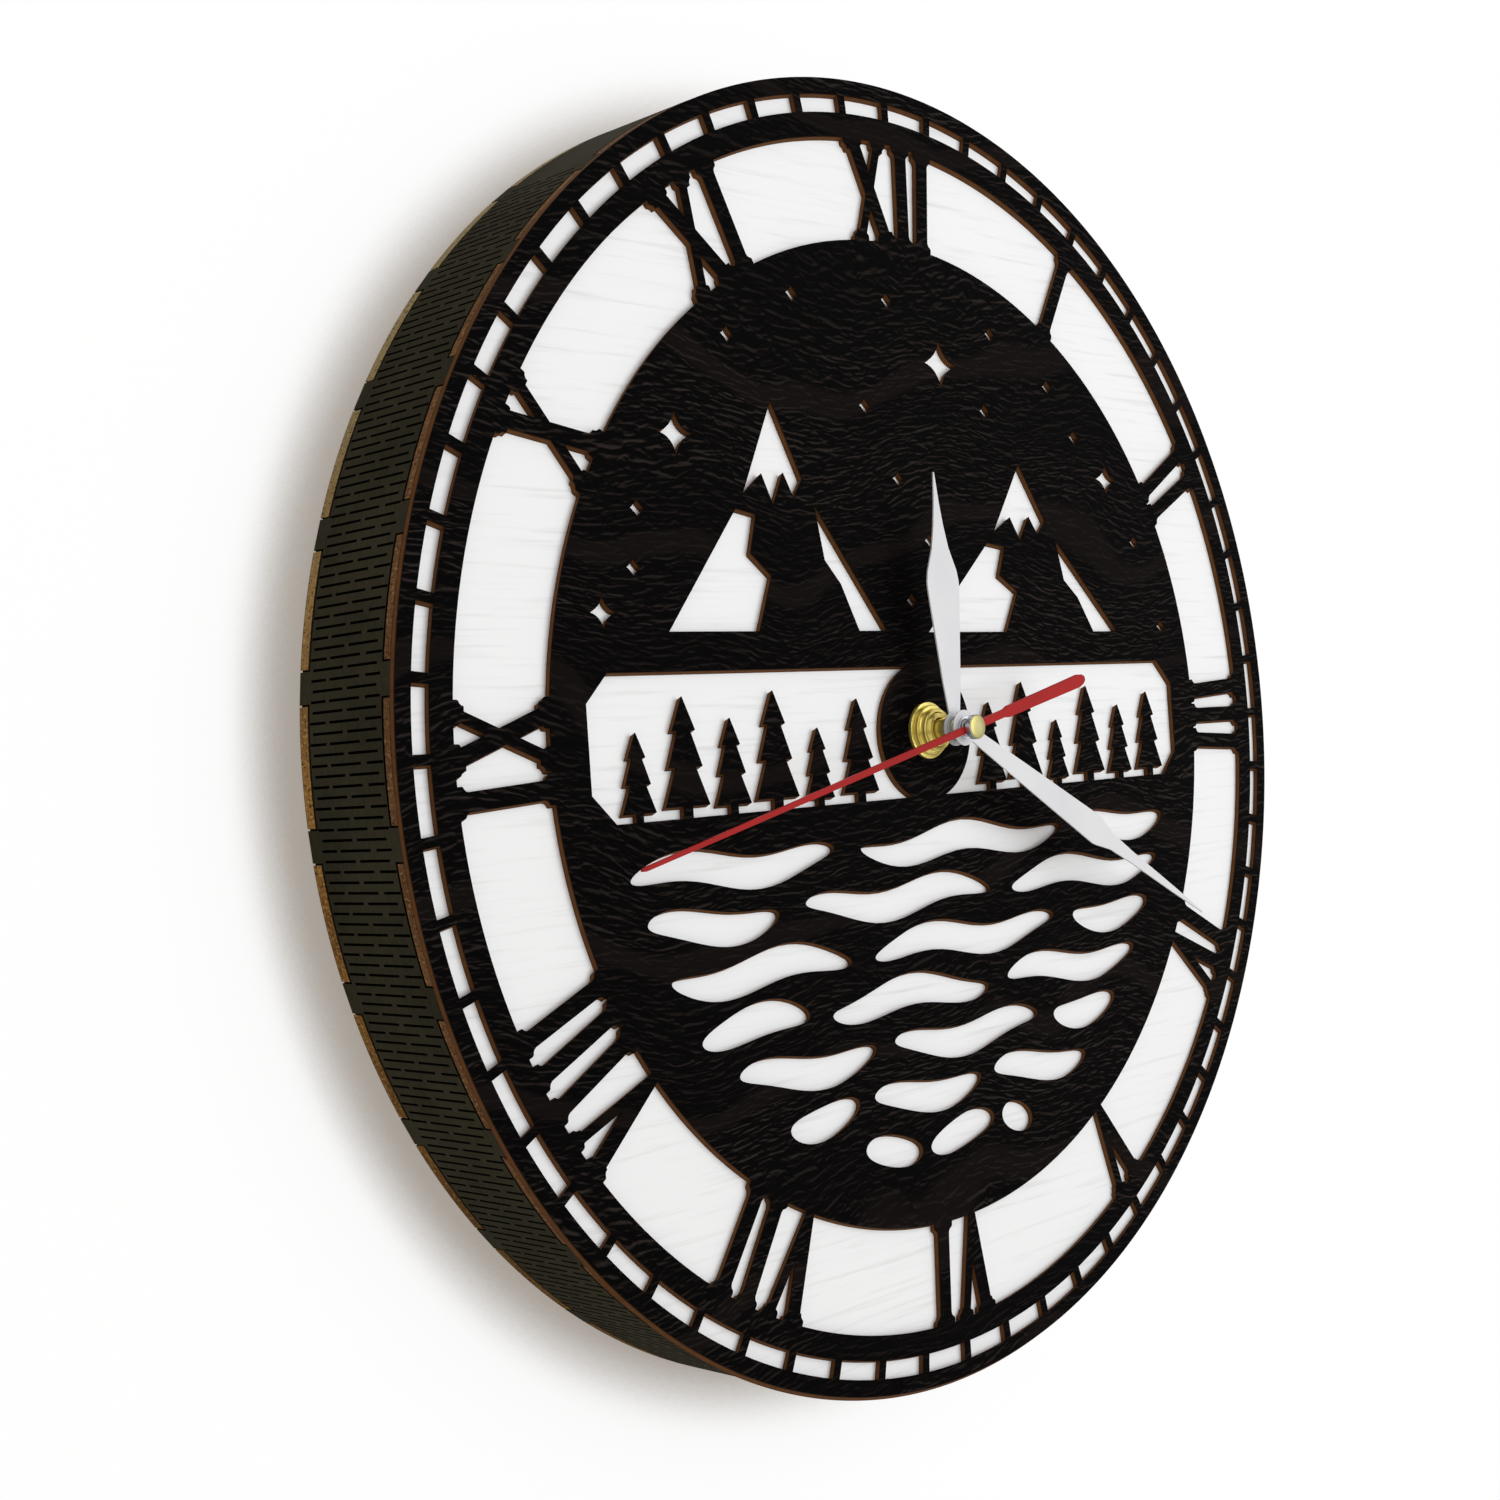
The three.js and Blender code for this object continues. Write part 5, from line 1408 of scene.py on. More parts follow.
@dataclass(frozen=True)
class DialBoard:
    """The black front board with its openings, in millimetres."""

    node: str = "front_dial"
    track_outer: float = 146.4
    track_inner: float = 142.3
    track_bar: float = 2.0
    track_steps: int = 6
    minutes: int = 60
    slant: float = 0.65
    slant_from: float = 10.0
    foot_slant: float = 1.1
    rim_from: float = 148.0
    rim_steps: int = 480
    numerals: NumeralStyle = NumeralStyle()
    landscape: Landscape = Landscape()

    def track(self) -> list[Outline]:
        """Openings of the minute track.

        Returns:
            One closed outline for each minute.
        """
        half_bar = math.degrees(self.track_bar / self.track_inner) / 2
        pitch = 360 / self.minutes
        return [
            sector(
                self.track_inner, self.track_outer, k * pitch + half_bar, (k + 1) * pitch - half_bar,
                self.track_steps,
            )
            for k in range(self.minutes)
        ]

    def lean(self, board: Solid, rear: float) -> None:
        """Lowers the rear edges of the openings and of the rim's foot, which the beam cut at a slant.

        Args:
            board: The board.
            rear: Depth of its rear face in metres.
        """
        for vertex in board.vertices:
            reach = math.hypot(vertex.x - AXIS.x, vertex.z - AXIS.z) / MM
            if math.isclose(vertex.y, rear, abs_tol=SAME_SPOT) and reach > self.slant_from:
                below = max(0.0, AXIS.z - vertex.z) / (RIM * MM)
                vertex.z -= (self.foot_slant * below if reach > self.rim_from else self.slant) * MM

    def build(self) -> None:
        """Makes the board."""
        base = [circle(radius, self.rim_steps) for radius in (RIM, self.numerals.outer, self.numerals.inner)]
        strokes = [
            outline
            for hour, word in enumerate(NUMERALS)
            for outline in self.numerals.numeral(word, hour * HOUR_STEP)
        ]
        windows = self.track() + self.landscape.openings() + [circle(SHAFT_HOLE, HOLE_STEPS)]
        first_stroke = len(base)
        first_window = first_stroke + len(strokes)

        def solid(inside: set[int]) -> bool:
            """Whether a spot within these outlines is board.

            Args:
                inside: Numbers of the outlines round the spot.

            Returns:
                Whether it is solid.
            """
            if 0 not in inside or any(number >= first_window for number in inside):
                return False
            in_ring = 1 in inside and 2 not in inside
            return not in_ring or any(number >= first_stroke for number in inside)

        board = Solid()
        depth = depths(self.node)
        board.add_flat(base + strokes + windows, solid, depth, CUT_BOARD)
        self.lean(board, depth[1])
        piece = board.piece("dial_board", recalculate=False)
        settle(piece, Body.CASE, [self.node], [STAIN, DIAL_CUT])


# The case

@dataclass(frozen=True)
class RimTabs:
    """Tabs of the band and the notches that take them, in millimetres and degrees."""

    count: int = 31
    degrees: float = 2.4
    phase: float = 8.73
    clear: float = 0.42
    dip: float = 0.5
    floor: float = 147.0
    floor_steps: int = 3
    rim_steps: int = 12

    @property
    def pitch(self) -> float:
        """Angle from tab to tab."""
        return 360 / self.count

    def notched(self) -> Outline:
        """Outline of a round board with a notch at each tab, its corners burnt away.

        Returns:
            The closed outline.
        """
        slack = math.degrees(self.clear / RIM)
        burnt = RIM - self.dip
        outline = []
        for k in range(self.count):
            start = self.phase - self.degrees / 2 + k * self.pitch
            end = start + self.degrees
            outline += arc(burnt, start - slack, start, 1)
            outline += arc(self.floor, start, end, self.floor_steps)
            outline += arc(burnt, end, end + slack, 1)
            outline += arc(RIM, end + slack, start - slack + self.pitch, self.rim_steps)
        return outline


TABS = RimTabs()


@dataclass(frozen=True)
class Boards:
    """The white board behind the dial and the rear board, in millimetres."""

    window_half: float = 37.75
    window_low: float = -38.05
    window_high: float = 36.0
    window_corner: float = 8.0
    corner_steps: int = 12
    slot: float = 2.3
    slot_steps: int = 24
    keyhole: float = 4.8
    keyhole_drop: float = 9.0
    keyhole_steps: int = 36

    def window(self) -> Outline:
        """Rounded opening over the movement.

        Returns:
            The closed outline.
        """
        corner = self.window_corner
        outline = []
        for x, z, start in (
            (self.window_half, self.window_high, 0), (self.window_half, self.window_low, 90),
            (-self.window_half, self.window_low, 180), (-self.window_half, self.window_high, 270),
        ):
            centre = x - math.copysign(corner, x), z - math.copysign(corner, z)
            outline += moved(arc(corner, start, start + 90, self.corner_steps), *centre)
        return outline

    def keyhole_parts(self) -> list[Outline]:
        """Outlines that together make the keyhole.

        Returns:
            The closed outlines.
        """
        hang = -AXIS.z / MM
        drop = hang - self.keyhole_drop
        return [
            [(-self.slot, drop), (self.slot, drop), (self.slot, hang), (-self.slot, hang)],
            circle(self.slot, self.slot_steps, (0.0, hang)),
            circle(self.keyhole, self.keyhole_steps, (0.0, drop)),
        ]

    def build(self) -> None:
        """Makes both boards."""
        shaft_hole = [circle(SHAFT_HOLE, HOLE_STEPS)]
        rear_holes = [self.window(), *self.keyhole_parts()]
        for name, node, holes, finishes in (
            ("white_board", "white_plate", shaft_hole, [WHITE, FRONT_EDGE]),
            ("rear_board", "back_plate", rear_holes, [BACK_FACE, BACK_EDGE]),
        ):
            piece = flat_piece(name, [TABS.notched(), *holes], first_alone, depths(node), CUT_BOARD)
            settle(piece, Body.CASE, [node], finishes)


SOCKET_TYPES = {int: "NodeSocketInt", float: "NodeSocketFloat", bpy.types.Material: "NodeSocketMaterial"}


class GeometryTree(Graph):
    """A geometry node tree with named inputs, baked into the piece that it is given."""

    def __init__(self, name: str, values: dict[str, Any]) -> None:
        """Makes the tree and its inputs.

        Args:
            name: Name of the tree.
            values: Value of each input by its name.
        """
        super().__init__(bpy.data.node_groups.new(name, "GeometryNodeTree"))
        interface = self.tree.interface
        for way in ("OUTPUT", "INPUT"):
            interface.new_socket("Geometry", in_out=way, socket_type="NodeSocketGeometry")
        self.values = {}
        for label, value in values.items():
            kind = next(socket for of, socket in SOCKET_TYPES.items() if isinstance(value, of))
            item = interface.new_socket(label, in_out="INPUT", socket_type=kind)
            self.values[item.identifier] = value
        self.entry = self.tree.nodes.new("NodeGroupInput")

    def given(self, label: str) -> Wire:
        """An input of the tree."""
        return Wire(self, self.entry.outputs[label])

    def index(self) -> Wire:
        """Number of each point."""
        return self.node("GeometryNodeInputIndex")

    def cube(self, width: Any, depth: Any, height: Any) -> Wire:
        """Block of three sizes."""
        return self.node("GeometryNodeMeshCube", None, {"Size": self.vector(width, depth, height)})

    def round_rim(self, shape: Wire, count: Any, turn: Wire, radius: Any, depth: Any) -> Wire:
        """Copies of a shape round the clock's axis, made real.

        Args:
            shape: What to copy; its local Z points outwards.
            count: Number of copies.
            turn: Angle of each copy in radians, clockwise from twelve.
            radius: Distance of the copies from the axis.
            depth: Their depth.

        Returns:
            The copies as one geometry.
        """
        spot = self.vector(AXIS.x + radius * turn.sine(), depth, AXIS.z + radius * turn.cosine())
        points = self.node("GeometryNodePoints", None, {"Count": count, "Position": spot})
        rotation = self.node("FunctionNodeEulerToRotation", None, {0: self.vector(0.0, turn, 0.0)})
        copies = self.node("GeometryNodeInstanceOnPoints", None, {
            "Points": points, "Instance": shape, "Rotation": rotation,
        })
        return self.node("GeometryNodeRealizeInstances", None, {0: copies})

    def joined(self, *geometries: Wire) -> Wire:
        """Several geometries as one."""
        return self.node("GeometryNodeJoinGeometry", None, {0: list(geometries)})

    def dressed(self, geometry: Wire, material: str, selection: Any = True) -> Wire:
        """Geometry whose selected faces have the material of an input."""
        return self.node("GeometryNodeSetMaterial", None, {
            "Geometry": geometry, "Selection": selection, "Material": self.given(material),
        })

    def bake(self, piece: bpy.types.Object, geometry: Wire) -> None:
        """Ends the tree with a geometry, runs it on a piece and keeps the result as its mesh.

        Args:
            piece: The piece.
            geometry: What the tree gives.
        """
        self.node("NodeGroupOutput", None, {0: geometry})
        modifier = piece.modifiers.new(self.tree.name, "NODES")
        modifier.node_group = self.tree
        for identifier, value in self.values.items():
            modifier[identifier] = value
        bake(piece, modifier)
        materials = piece.data.materials
        for slot in reversed(range(len(materials))):
            if materials[slot] is None:
                materials.pop(index=slot)
        shade(piece.data)


@dataclass(frozen=True)
class SideBand:
    """The bent band: rows of slits that let it bend, and tabs on both edges."""

    node: str = "side_band"
    thick: float = 3.0
    steps: int = 720
    rows: int = 441
    row_pitch: float = 0.7742
    first_row: float = 341.3
    kerf: float = 0.54
    # The slits stop short of the inside; their floor takes the near-black finish as painted shade for the
    # dark beyond a cut that runs right through.
    slit_depth: float = 2.7
    skin: float = 0.08
    inlet_hole: float = 4.15
    button_hole: float = 4.9
    gap: float = 0.5
    tab_root: float = 0.5
    tab_share: float = 0.99
    full_row: tuple[Span, ...] = ((0.07, 0.472), (0.532, 0.955))
    split_row: tuple[Span, ...] = ((0.005, 0.225), (0.305, 0.72), (0.768, 0.995))

    def inputs(self) -> dict[str, Any]:
        """Inputs of the geometry tree, in metres and radians.

        Returns:
            Value of each input by its name.
        """
        front, rear = BAND_DEPTHS[0] + self.gap * MM, BAND_DEPTHS[1] - self.gap * MM
        root = self.tab_root * MM
        return {
            "Rows": self.rows, "Row Pitch": math.radians(self.row_pitch),
            "First Row": math.radians(self.first_row), "Kerf": self.kerf * MM, "Radius": RIM * MM,
            "Thick": self.thick * MM, "Slit Depth": self.slit_depth * MM, "Skin": self.skin * MM,
            "Front": front, "Rear": rear, "Tabs": TABS.count, "Tab Pitch": math.radians(TABS.pitch),
            "First Tab": math.radians(TABS.phase), "Tab Width": math.radians(TABS.degrees) * RIM * MM,
            "Tab Root": root, "Front Tab": front - front_of("white_plate") + root,
            "Rear Tab": rear_of("back_plate") - rear + root,
            "Char And Shade": SLIT.material(), "Stain": BAND.material(),
        }

    def slits(self, graph: GeometryTree, parity: int, span: Span) -> Wire:
        """One family of slits, in every second row.

        Args:
            graph: The tree.
            parity: Number of its first row.
            span: Shares of the band's depth that the slits run between.

        Returns:
            The cutters' geometry.
        """
        low, high = span
        front, radius = graph.given("Front"), graph.given("Radius")
        wide = graph.given("Rear") - front
        turn = graph.given("First Row") + (graph.index() * 2.0 + float(parity)) * graph.given("Row Pitch")
        shape = graph.cube(graph.given("Kerf"), wide * (high - low), graph.given("Slit Depth") * 2.0)
        rows = (graph.given("Rows") - float(parity) + 1.0) / 2.0
        count = graph.node("FunctionNodeFloatToInt", {"rounding_mode": "FLOOR"}, {0: rows})
        return graph.round_rim(shape, count, turn, radius, front + wide * ((low + high) / 2))

    def hole(self, graph: GeometryTree, radius: float, degrees: float) -> Wire:
        """Round cutter through the band, pointing outwards.

        Args:
            graph: The tree.
            radius: Radius of the hole in millimetres.
            degrees: Its place, clockwise from twelve.

        Returns:
            The cutter's geometry.
        """
        rod = graph.node("GeometryNodeMeshCylinder", {"fill_type": "NGON"}, {
            "Vertices": HOLE_STEPS, "Radius": radius * MM, "Depth": 2 * self.thick * MM,
        })
        x, z = on_dial((RIM - self.thick / 2) * MM, degrees)
        return graph.node("GeometryNodeTransform", None, {
            "Geometry": rod, "Translation": (AXIS.x + x, BAND_MIDDLE, AXIS.z + z),
            "Rotation": (0.0, math.radians(degrees), 0.0),
        })

    def tabs(self, graph: GeometryTree, edge: str, outwards_sign: float) -> Wire:
        """Tabs along the front or the rear edge.

        Args:
            graph: The tree.
            edge: The edge's name among the tree's inputs.
            outwards_sign: Sign of the way from the band to the tabs' ends.

        Returns:
            The tabs' geometry.
        """
        length = graph.given(f"{edge} Tab")
        turn = graph.given("First Tab") + graph.index() * graph.given("Tab Pitch")
        shape = graph.cube(graph.given("Tab Width"), length, graph.given("Thick") * self.tab_share)
        middle = graph.given("Radius") - graph.given("Thick") * 0.5
        root_depth = graph.given(edge) - graph.given("Tab Root") * outwards_sign
        depth = root_depth + length * (0.5 * outwards_sign)
        return graph.round_rim(shape, graph.given("Tabs"), turn, middle, depth)

    def burnt(self, graph: GeometryTree) -> Wire:
        """Selection of the faces inside the band's wall, which are all burnt cuts and take the slits'
        near-black finish, partly painted shade.

        Args:
            graph: The tree.

        Returns:
            One for such a face, else zero.
        """
        x, _, z = graph.parts(graph.node("GeometryNodeInputPosition"))
        outer, skin = graph.given("Radius"), graph.given("Skin")
        radius = graph.radius(x, z)
        return (outer - skin).above(radius) * radius.above(outer - graph.given("Thick") + skin)

    def build(self) -> None:
        """Makes the band."""
        inputs = self.inputs()
        rear, inner = inputs["Rear"], RIM - self.thick
        deep = (rear - inputs["Front"]) / MM
        ring = Solid()
        ring.add_turned(
            [(inner, 0.0), (RIM, 0.0), (RIM, deep), (inner, deep)], towards_viewer(rear), self.steps
        )
        piece = ring.piece("slit_band")
        piece.data.materials.append(BAND.material())
        graph = GeometryTree("band cuts", inputs)
        slits = [
            self.slits(graph, parity, span)
            for parity, row in enumerate((self.full_row, self.split_row)) for span in row
        ]
        holes = [
            self.hole(graph, self.inlet_hole, INLET_TURN), self.hole(graph, self.button_hole, BUTTON_TURN)
        ]
        pierced = graph.node("GeometryNodeMeshBoolean", {"operation": "DIFFERENCE", "solver": "MANIFOLD"}, {
            "Mesh 1": graph.given("Geometry"), "Mesh 2": [graph.joined(*slits), *holes],
        })
        tabs = graph.joined(self.tabs(graph, "Front", -1.0), self.tabs(graph, "Rear", 1.0))
        stained = graph.dressed(graph.joined(pierced, tabs), "Stain")
        graph.bake(piece, graph.dressed(stained, "Char And Shade", self.burnt(graph)))
        settle(piece, Body.CASE, [self.node])


# Hands and shaft

@dataclass(frozen=True)
class Hand(Part):
    """A hand stamped from sheet: blades through (distance, half width) stations, and a round hub."""

    degrees: float
    blades: tuple[tuple[Point, ...], ...]
    hub: float
    bore: float
    edge: float
    bore_steps: int = 40
    flatness: float = 0.2

    def blade(self, stations: Sequence[Point], degrees: float) -> Outline:
        """Outline of a blade that points at an angle.

        Args:
            stations: Distances from the axis and half widths.
            degrees: The angle, clockwise from twelve.

        Returns:
            The closed outline.
        """
        right = [(half, along) for along, half in stations]
        left = [(-half, along) for along, half in stations]
        return turned(right + left[::-1], degrees)

    def shape(self) -> bpy.types.Object:
        """The hand, its edges rounded.

        Returns:
            The piece in place.
        """
        blades = [self.blade(stations, self.degrees + 180.0 * k) for k, stations in enumerate(self.blades)]
        shapes = [circle(self.bore, self.bore_steps), circle(self.hub, ROUND_STEPS), *blades]
        piece = flat_piece(
            self.name, shapes, lambda inside: bool(inside) and 0 not in inside, depths(self.node)
        )
        with opened(piece.data) as work:
            dissolve(work, self.flatness)
        bevel(piece, self.edge)
        return piece


HANDS = (
    Hand("hour_hand", Body.HOUR, -1.9, ((
        (2.2, 1.75), (10.4, 3.1), (31.1, 5.55), (33.7, 5.7), (36.3, 5.2), (41.5, 3.0), (46.6, 1.8),
        (51.8, 0.95), (59.0, 0.15),
    ),), 4.0, 2.53, 0.08),
    Hand("minute_hand", Body.MINUTE, 118.8, ((
        (2.2, 1.6), (30.0, 2.8), (53.0, 3.7), (55.6, 3.8), (57.8, 3.4), (63.0, 2.1), (72.0, 1.5),
        (93.0, 0.8), (107.3, 0.15),
    ),), 4.1, 1.78, 0.08),
    Hand("second_hand", Body.SECOND, 257.1, (
        ((-1.0, 0.85), (60.0, 0.65), (106.0, 0.45), (107.0, 0.2)),
        ((-1.0, 0.95), (12.5, 0.95), (14.0, 1.35), (43.5, 1.6), (45.3, 1.2), (46.3, 0.5)),
    ), 2.0, 0.73, 0.1),
)


@dataclass(frozen=True)
class TurnedPart(Part):
    """A round part, from its profile of (radius, height) pairs in millimetres.

    Where no placing is given, its heights rise towards the viewer from the node's rear face.
    """

    profile: tuple[Point, ...]
    edges: tuple[int, ...] = (0,)
    skins: tuple[Finish, ...] = ()
    placing: Matrix | None = None
    steps: int = 72

    @property
    def finishes(self) -> tuple[Finish, ...]:
        """The part's own finishes, or that of its node."""
        return self.skins or super().finishes

    def shape(self) -> bpy.types.Object:
        """The part, smooth round its axis.

        Returns:
            The piece in place.
        """
        solid = Solid()
        placing = self.placing or towards_viewer(rear_of(self.node))
        solid.add_turned(self.profile, placing, self.steps, self.edges)
        return solid.piece(self.name, ROUND_SHARP)


def rounded_ring(inner: float, outer: float, height: float, edge: float) -> tuple[Point, ...]:
    """Profile of a ring with rounded edges.

    Args:
        inner: Its inner radius.
        outer: Its outer radius.
        height: Its height.
        edge: Size of the rounding.

    Returns:
        The closed profile of (radius, height) pairs.
    """
    soft = edge * RING_SOFT
    return (
        (inner, edge), (inner + soft, soft), (inner + edge, 0.0), (outer - edge, 0.0), (outer - soft, soft),
        (outer, edge), (outer, height - edge), (outer - soft, height - soft), (outer - edge, height),
        (inner + edge, height), (inner + soft, height - soft), (inner, height - edge),
    )


@dataclass(frozen=True)
class Bush:
    """Bush with a fine thread over its front part and a flange at its rear, in millimetres."""

    node: str = "threaded_bush"
    bore: float = 2.75
    flange: float = 5.0
    flange_thick: float = 0.6
    crest: float = 3.9
    root: float = 3.65
    thread: float = 4.0
    pitch: float = 0.5
    soft: float = 0.1

    def profile(self) -> tuple[Point, ...]:
        """Profile of the bush, as long as its node.

        Returns:
            The closed profile of (radius, height) pairs.
        """
        front, rear = depths(self.node)
        length = (rear - front) / MM
        rising = [
            (self.bore, 0.0), (self.flange, 0.0), (self.flange, self.flange_thick),
            (self.crest, self.flange_thick),
        ]
        for k in range(int(self.thread / self.pitch), 0, -1):
            rising += [(self.crest, length - k * self.pitch), (self.root, length - (k - 0.5) * self.pitch)]
        return (
            *rising, (self.crest - self.soft, length - self.soft), (self.crest - 2 * self.soft, length),
            (self.bore + self.soft, length), (self.bore, length - self.soft),
        )


NUT = (
    (4.0, 0.1), (4.1, 0.0), (5.65, 0.0), (5.8, 0.12), (5.8, 1.05), (5.7, 1.2), (5.1, 1.2), (4.9, 1.3),
    (4.9, 2.5), (4.7, 2.7), (4.2, 2.7), (4.0, 2.55),
)
DOME = (
    (0.0, 0.0), (2.7, 0.0), (2.8, 0.1), (2.8, 1.3), (2.74, 1.48), (2.6, 1.6), (2.4, 1.66), (1.2, 1.7),
    (0.0, 1.7),
)
DOME_EDGES = (0, 0, 0, 0, 1, 1, 1, 1, 0)
SHAFT = (
    TurnedPart("brass_washer", Body.CASE, rounded_ring(4.0, 6.6, 0.9, 0.15)),
    TurnedPart("brass_nut", Body.CASE, NUT),
    TurnedPart("threaded_bush", Body.CASE, Bush().profile()),
    TurnedPart("rubber_washer", Body.CASE, rounded_ring(4.0, 10.0, 1.0, 0.2)),
    TurnedPart("hour_collar", Body.HOUR, rounded_ring(2.53, 3.28, 0.6, 0.12)),
    TurnedPart("minute_collar", Body.MINUTE, rounded_ring(1.78, 2.53, 0.6, 0.12)),
    TurnedPart("second_collar", Body.SECOND, rounded_ring(0.73, 1.48, 0.6, 0.1)),
    TurnedPart("second_cap", Body.SECOND, DOME, DOME_EDGES, (SILVER, CAP)),
)


@dataclass(frozen=True)
class GearTube(Part):
    """A tube of the shaft with the gear near its rear end, in millimetres."""

    tube: float
    bore: float
    teeth: int
    module: float
    phase: float
    gear_front: float
    gear_rear: float
    tube_soft: float = 0.12
    bore_soft: float = 0.1
    addendum: float = 0.7
    dedendum: float = 1.5
    land: float = 0.08
    bore_steps: int = 32

    def teeth_outline(self) -> Outline:
        """Outline of the gear.

        Returns:
            The closed outline.
        """
        tip = self.module * (self.teeth / 2 + self.addendum)
        root = self.module * (self.teeth / 2 - self.dedendum)
        pitch = 360 / self.teeth
        outline = []
        for k in range(self.teeth):
            middle = self.phase + k * pitch
            outline += [on_dial(tip, middle - self.land * pitch), on_dial(tip, middle + self.land * pitch)]
            outline.append(on_dial(root, middle + pitch / 2))
        return outline

    def shape(self) -> bpy.types.Object:
        """The tube and its gear, whose depths are measured from the node's rear end.

        Returns:
            The piece in place.
        """
        front, rear = depths(self.node)
        length = (rear - front) / MM
        part = Solid()
        part.add_turned((
            (self.bore, 0.0), (self.tube, 0.0), (self.tube, length - self.tube_soft),
            (self.tube - self.tube_soft, length), (self.bore + self.bore_soft, length),
            (self.bore, length - self.bore_soft),
        ), towards_viewer(rear), ROUND_STEPS)
        hidden_bore = circle((self.bore + self.tube) / 2, self.bore_steps)
        gear_depth = rear - self.gear_front * MM, rear - self.gear_rear * MM
        part.add_flat([self.teeth_outline(), hidden_bore], first_alone, gear_depth)
        return part.piece(self.name, ROUND_SHARP)


TUBES = (
    GearTube("hour_arbor", Body.HOUR, 2.5, 2.0, 32, 0.45, 255.625, 0.9, 0.0),
    GearTube("minute_arbor", Body.MINUTE, 1.75, 1.1, 9, 0.5, 0.0, 2.65, 1.45),
)


# Movement and light

@dataclass(frozen=True)
class SoftBox(Part):
    """A moulded piece that keeps its solid's shape with rounded edges."""

    edge: float
    segments: int = 3
    sharp: float = 30.0
    flatness: float = 0.5

    def shape(self) -> bpy.types.Object:
        """The piece, from a copy of the node's mesh.

        Returns:
            The piece in place.
        """
        source = frame["nodes"][self.node]
        mesh = source.data.copy()
        mesh.transform(source.matrix_world)
        mesh.materials.clear()
        with opened(mesh) as work:
            bmesh.ops.remove_doubles(work, verts=work.verts, dist=SAME_SPOT)
            dissolve(work, self.flatness)
            bmesh.ops.recalc_face_normals(work, faces=work.faces)
        shade(mesh)
        piece = linked(self.name, mesh)
        bevel(piece, self.edge, self.segments, self.sharp)
        shade(piece.data, self.sharp)
        return piece


MOULDED = (
    SoftBox("movement_case", Body.CASE, 0.35),
    SoftBox("movement_cover", Body.CASE, 0.3),
    SoftBox("setting_knob", Body.KNOB, 0.15),
    SoftBox("light_driver", Body.CASE, 0.8),
)


@dataclass(frozen=True)
class Cell:
    """The battery: a printed sleeve over a can with a raised contact, in millimetres."""

    node: str = "battery"
    radius: float = 7.1
    shoulder: float = 0.45
    seam: float = 1.5
    nub: float = 2.6
    nub_length: float = 1.6

    def build(self) -> None:
        """Makes the cell; its contact points to the left of the dial."""
        low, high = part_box(self.node)
        length = (high.x - low.x) / MM
        top = length - self.nub_length
        crimp, soft = self.radius - self.seam, self.shoulder
        profile = (
            (0.0, soft), (crimp, soft), (crimp, 0.0), (self.radius - soft, 0.0), (self.radius, soft),
            (self.radius, top - soft), (self.radius - soft, top), (crimp, top), (crimp, top - soft),
            (self.nub, top - soft), (self.nub, length - soft), (self.nub - soft, length), (0.0, length),
        )
        sleeve, metal = 0, 1
        edges = (metal,) * 2 + (sleeve,) * 5 + (metal,) * 6
        middle = middle_of(self.node)
        placing = axis_placing(Vector((high.x, middle.y, middle.z)), Vector((-1.0, 0.0, 0.0)))
        TurnedPart(self.node, Body.CASE, profile, edges, (CELL, SILVER), placing, ROUND_STEPS).build()


@dataclass(frozen=True)
class CoverMarks:
    """Raised marks on the movement's rear: which way the knob turns and how the cell lies."""

    rise: float = 0.25
    sink: float = 0.1
    ring: float = 8.2
    width: float = 0.9
    start: float = -70.0
    end: float = 70.0
    head: float = 1.9
    sign: float = 2.2
    sign_place: Point = (23.0, -6.0)
    bend_steps: int = 24

    def arrow(self, centre: Point) -> list[Outline]:
        """Outlines of a bent arrow round a centre.

        Args:
            centre: The centre.

        Returns:
            The outlines of its bend and of its tip.
        """
        half = self.width / 2
        bend = sector(self.ring - half, self.ring + half, self.start, self.end, self.bend_steps)
        reach = math.degrees(2 * self.head / self.ring)
        tip = [
            on_dial(self.ring - self.head, self.end), on_dial(self.ring + self.head, self.end),
            on_dial(self.ring, self.end + reach),
        ]
        return [moved(bend, *centre), moved(tip, *centre)]

    def bar(self, across: float, tall: float, centre: Point) -> Outline:
        """Outline of a bar about a centre, from its half sizes."""
        return moved([(-across, -tall), (across, -tall), (across, tall), (-across, tall)], *centre)

    def build(self) -> None:
        """Makes the marks."""
        knob = (middle_of("setting_knob") - AXIS) / MM
        x, z = self.sign_place
        half = self.width / 2
        shapes = self.arrow((knob.x, knob.z)) + [
            self.bar(self.sign, half, (-x, z)), self.bar(half, self.sign, (-x, z)),
            self.bar(self.sign, half, (x, z)),
        ]
        face = rear_of("movement_cover")
        piece = flat_piece("cover_marks", shapes, bool, (face - self.sink * MM, face + self.rise * MM))
        settle(piece, Body.CASE, [], [GREY_PLASTIC])


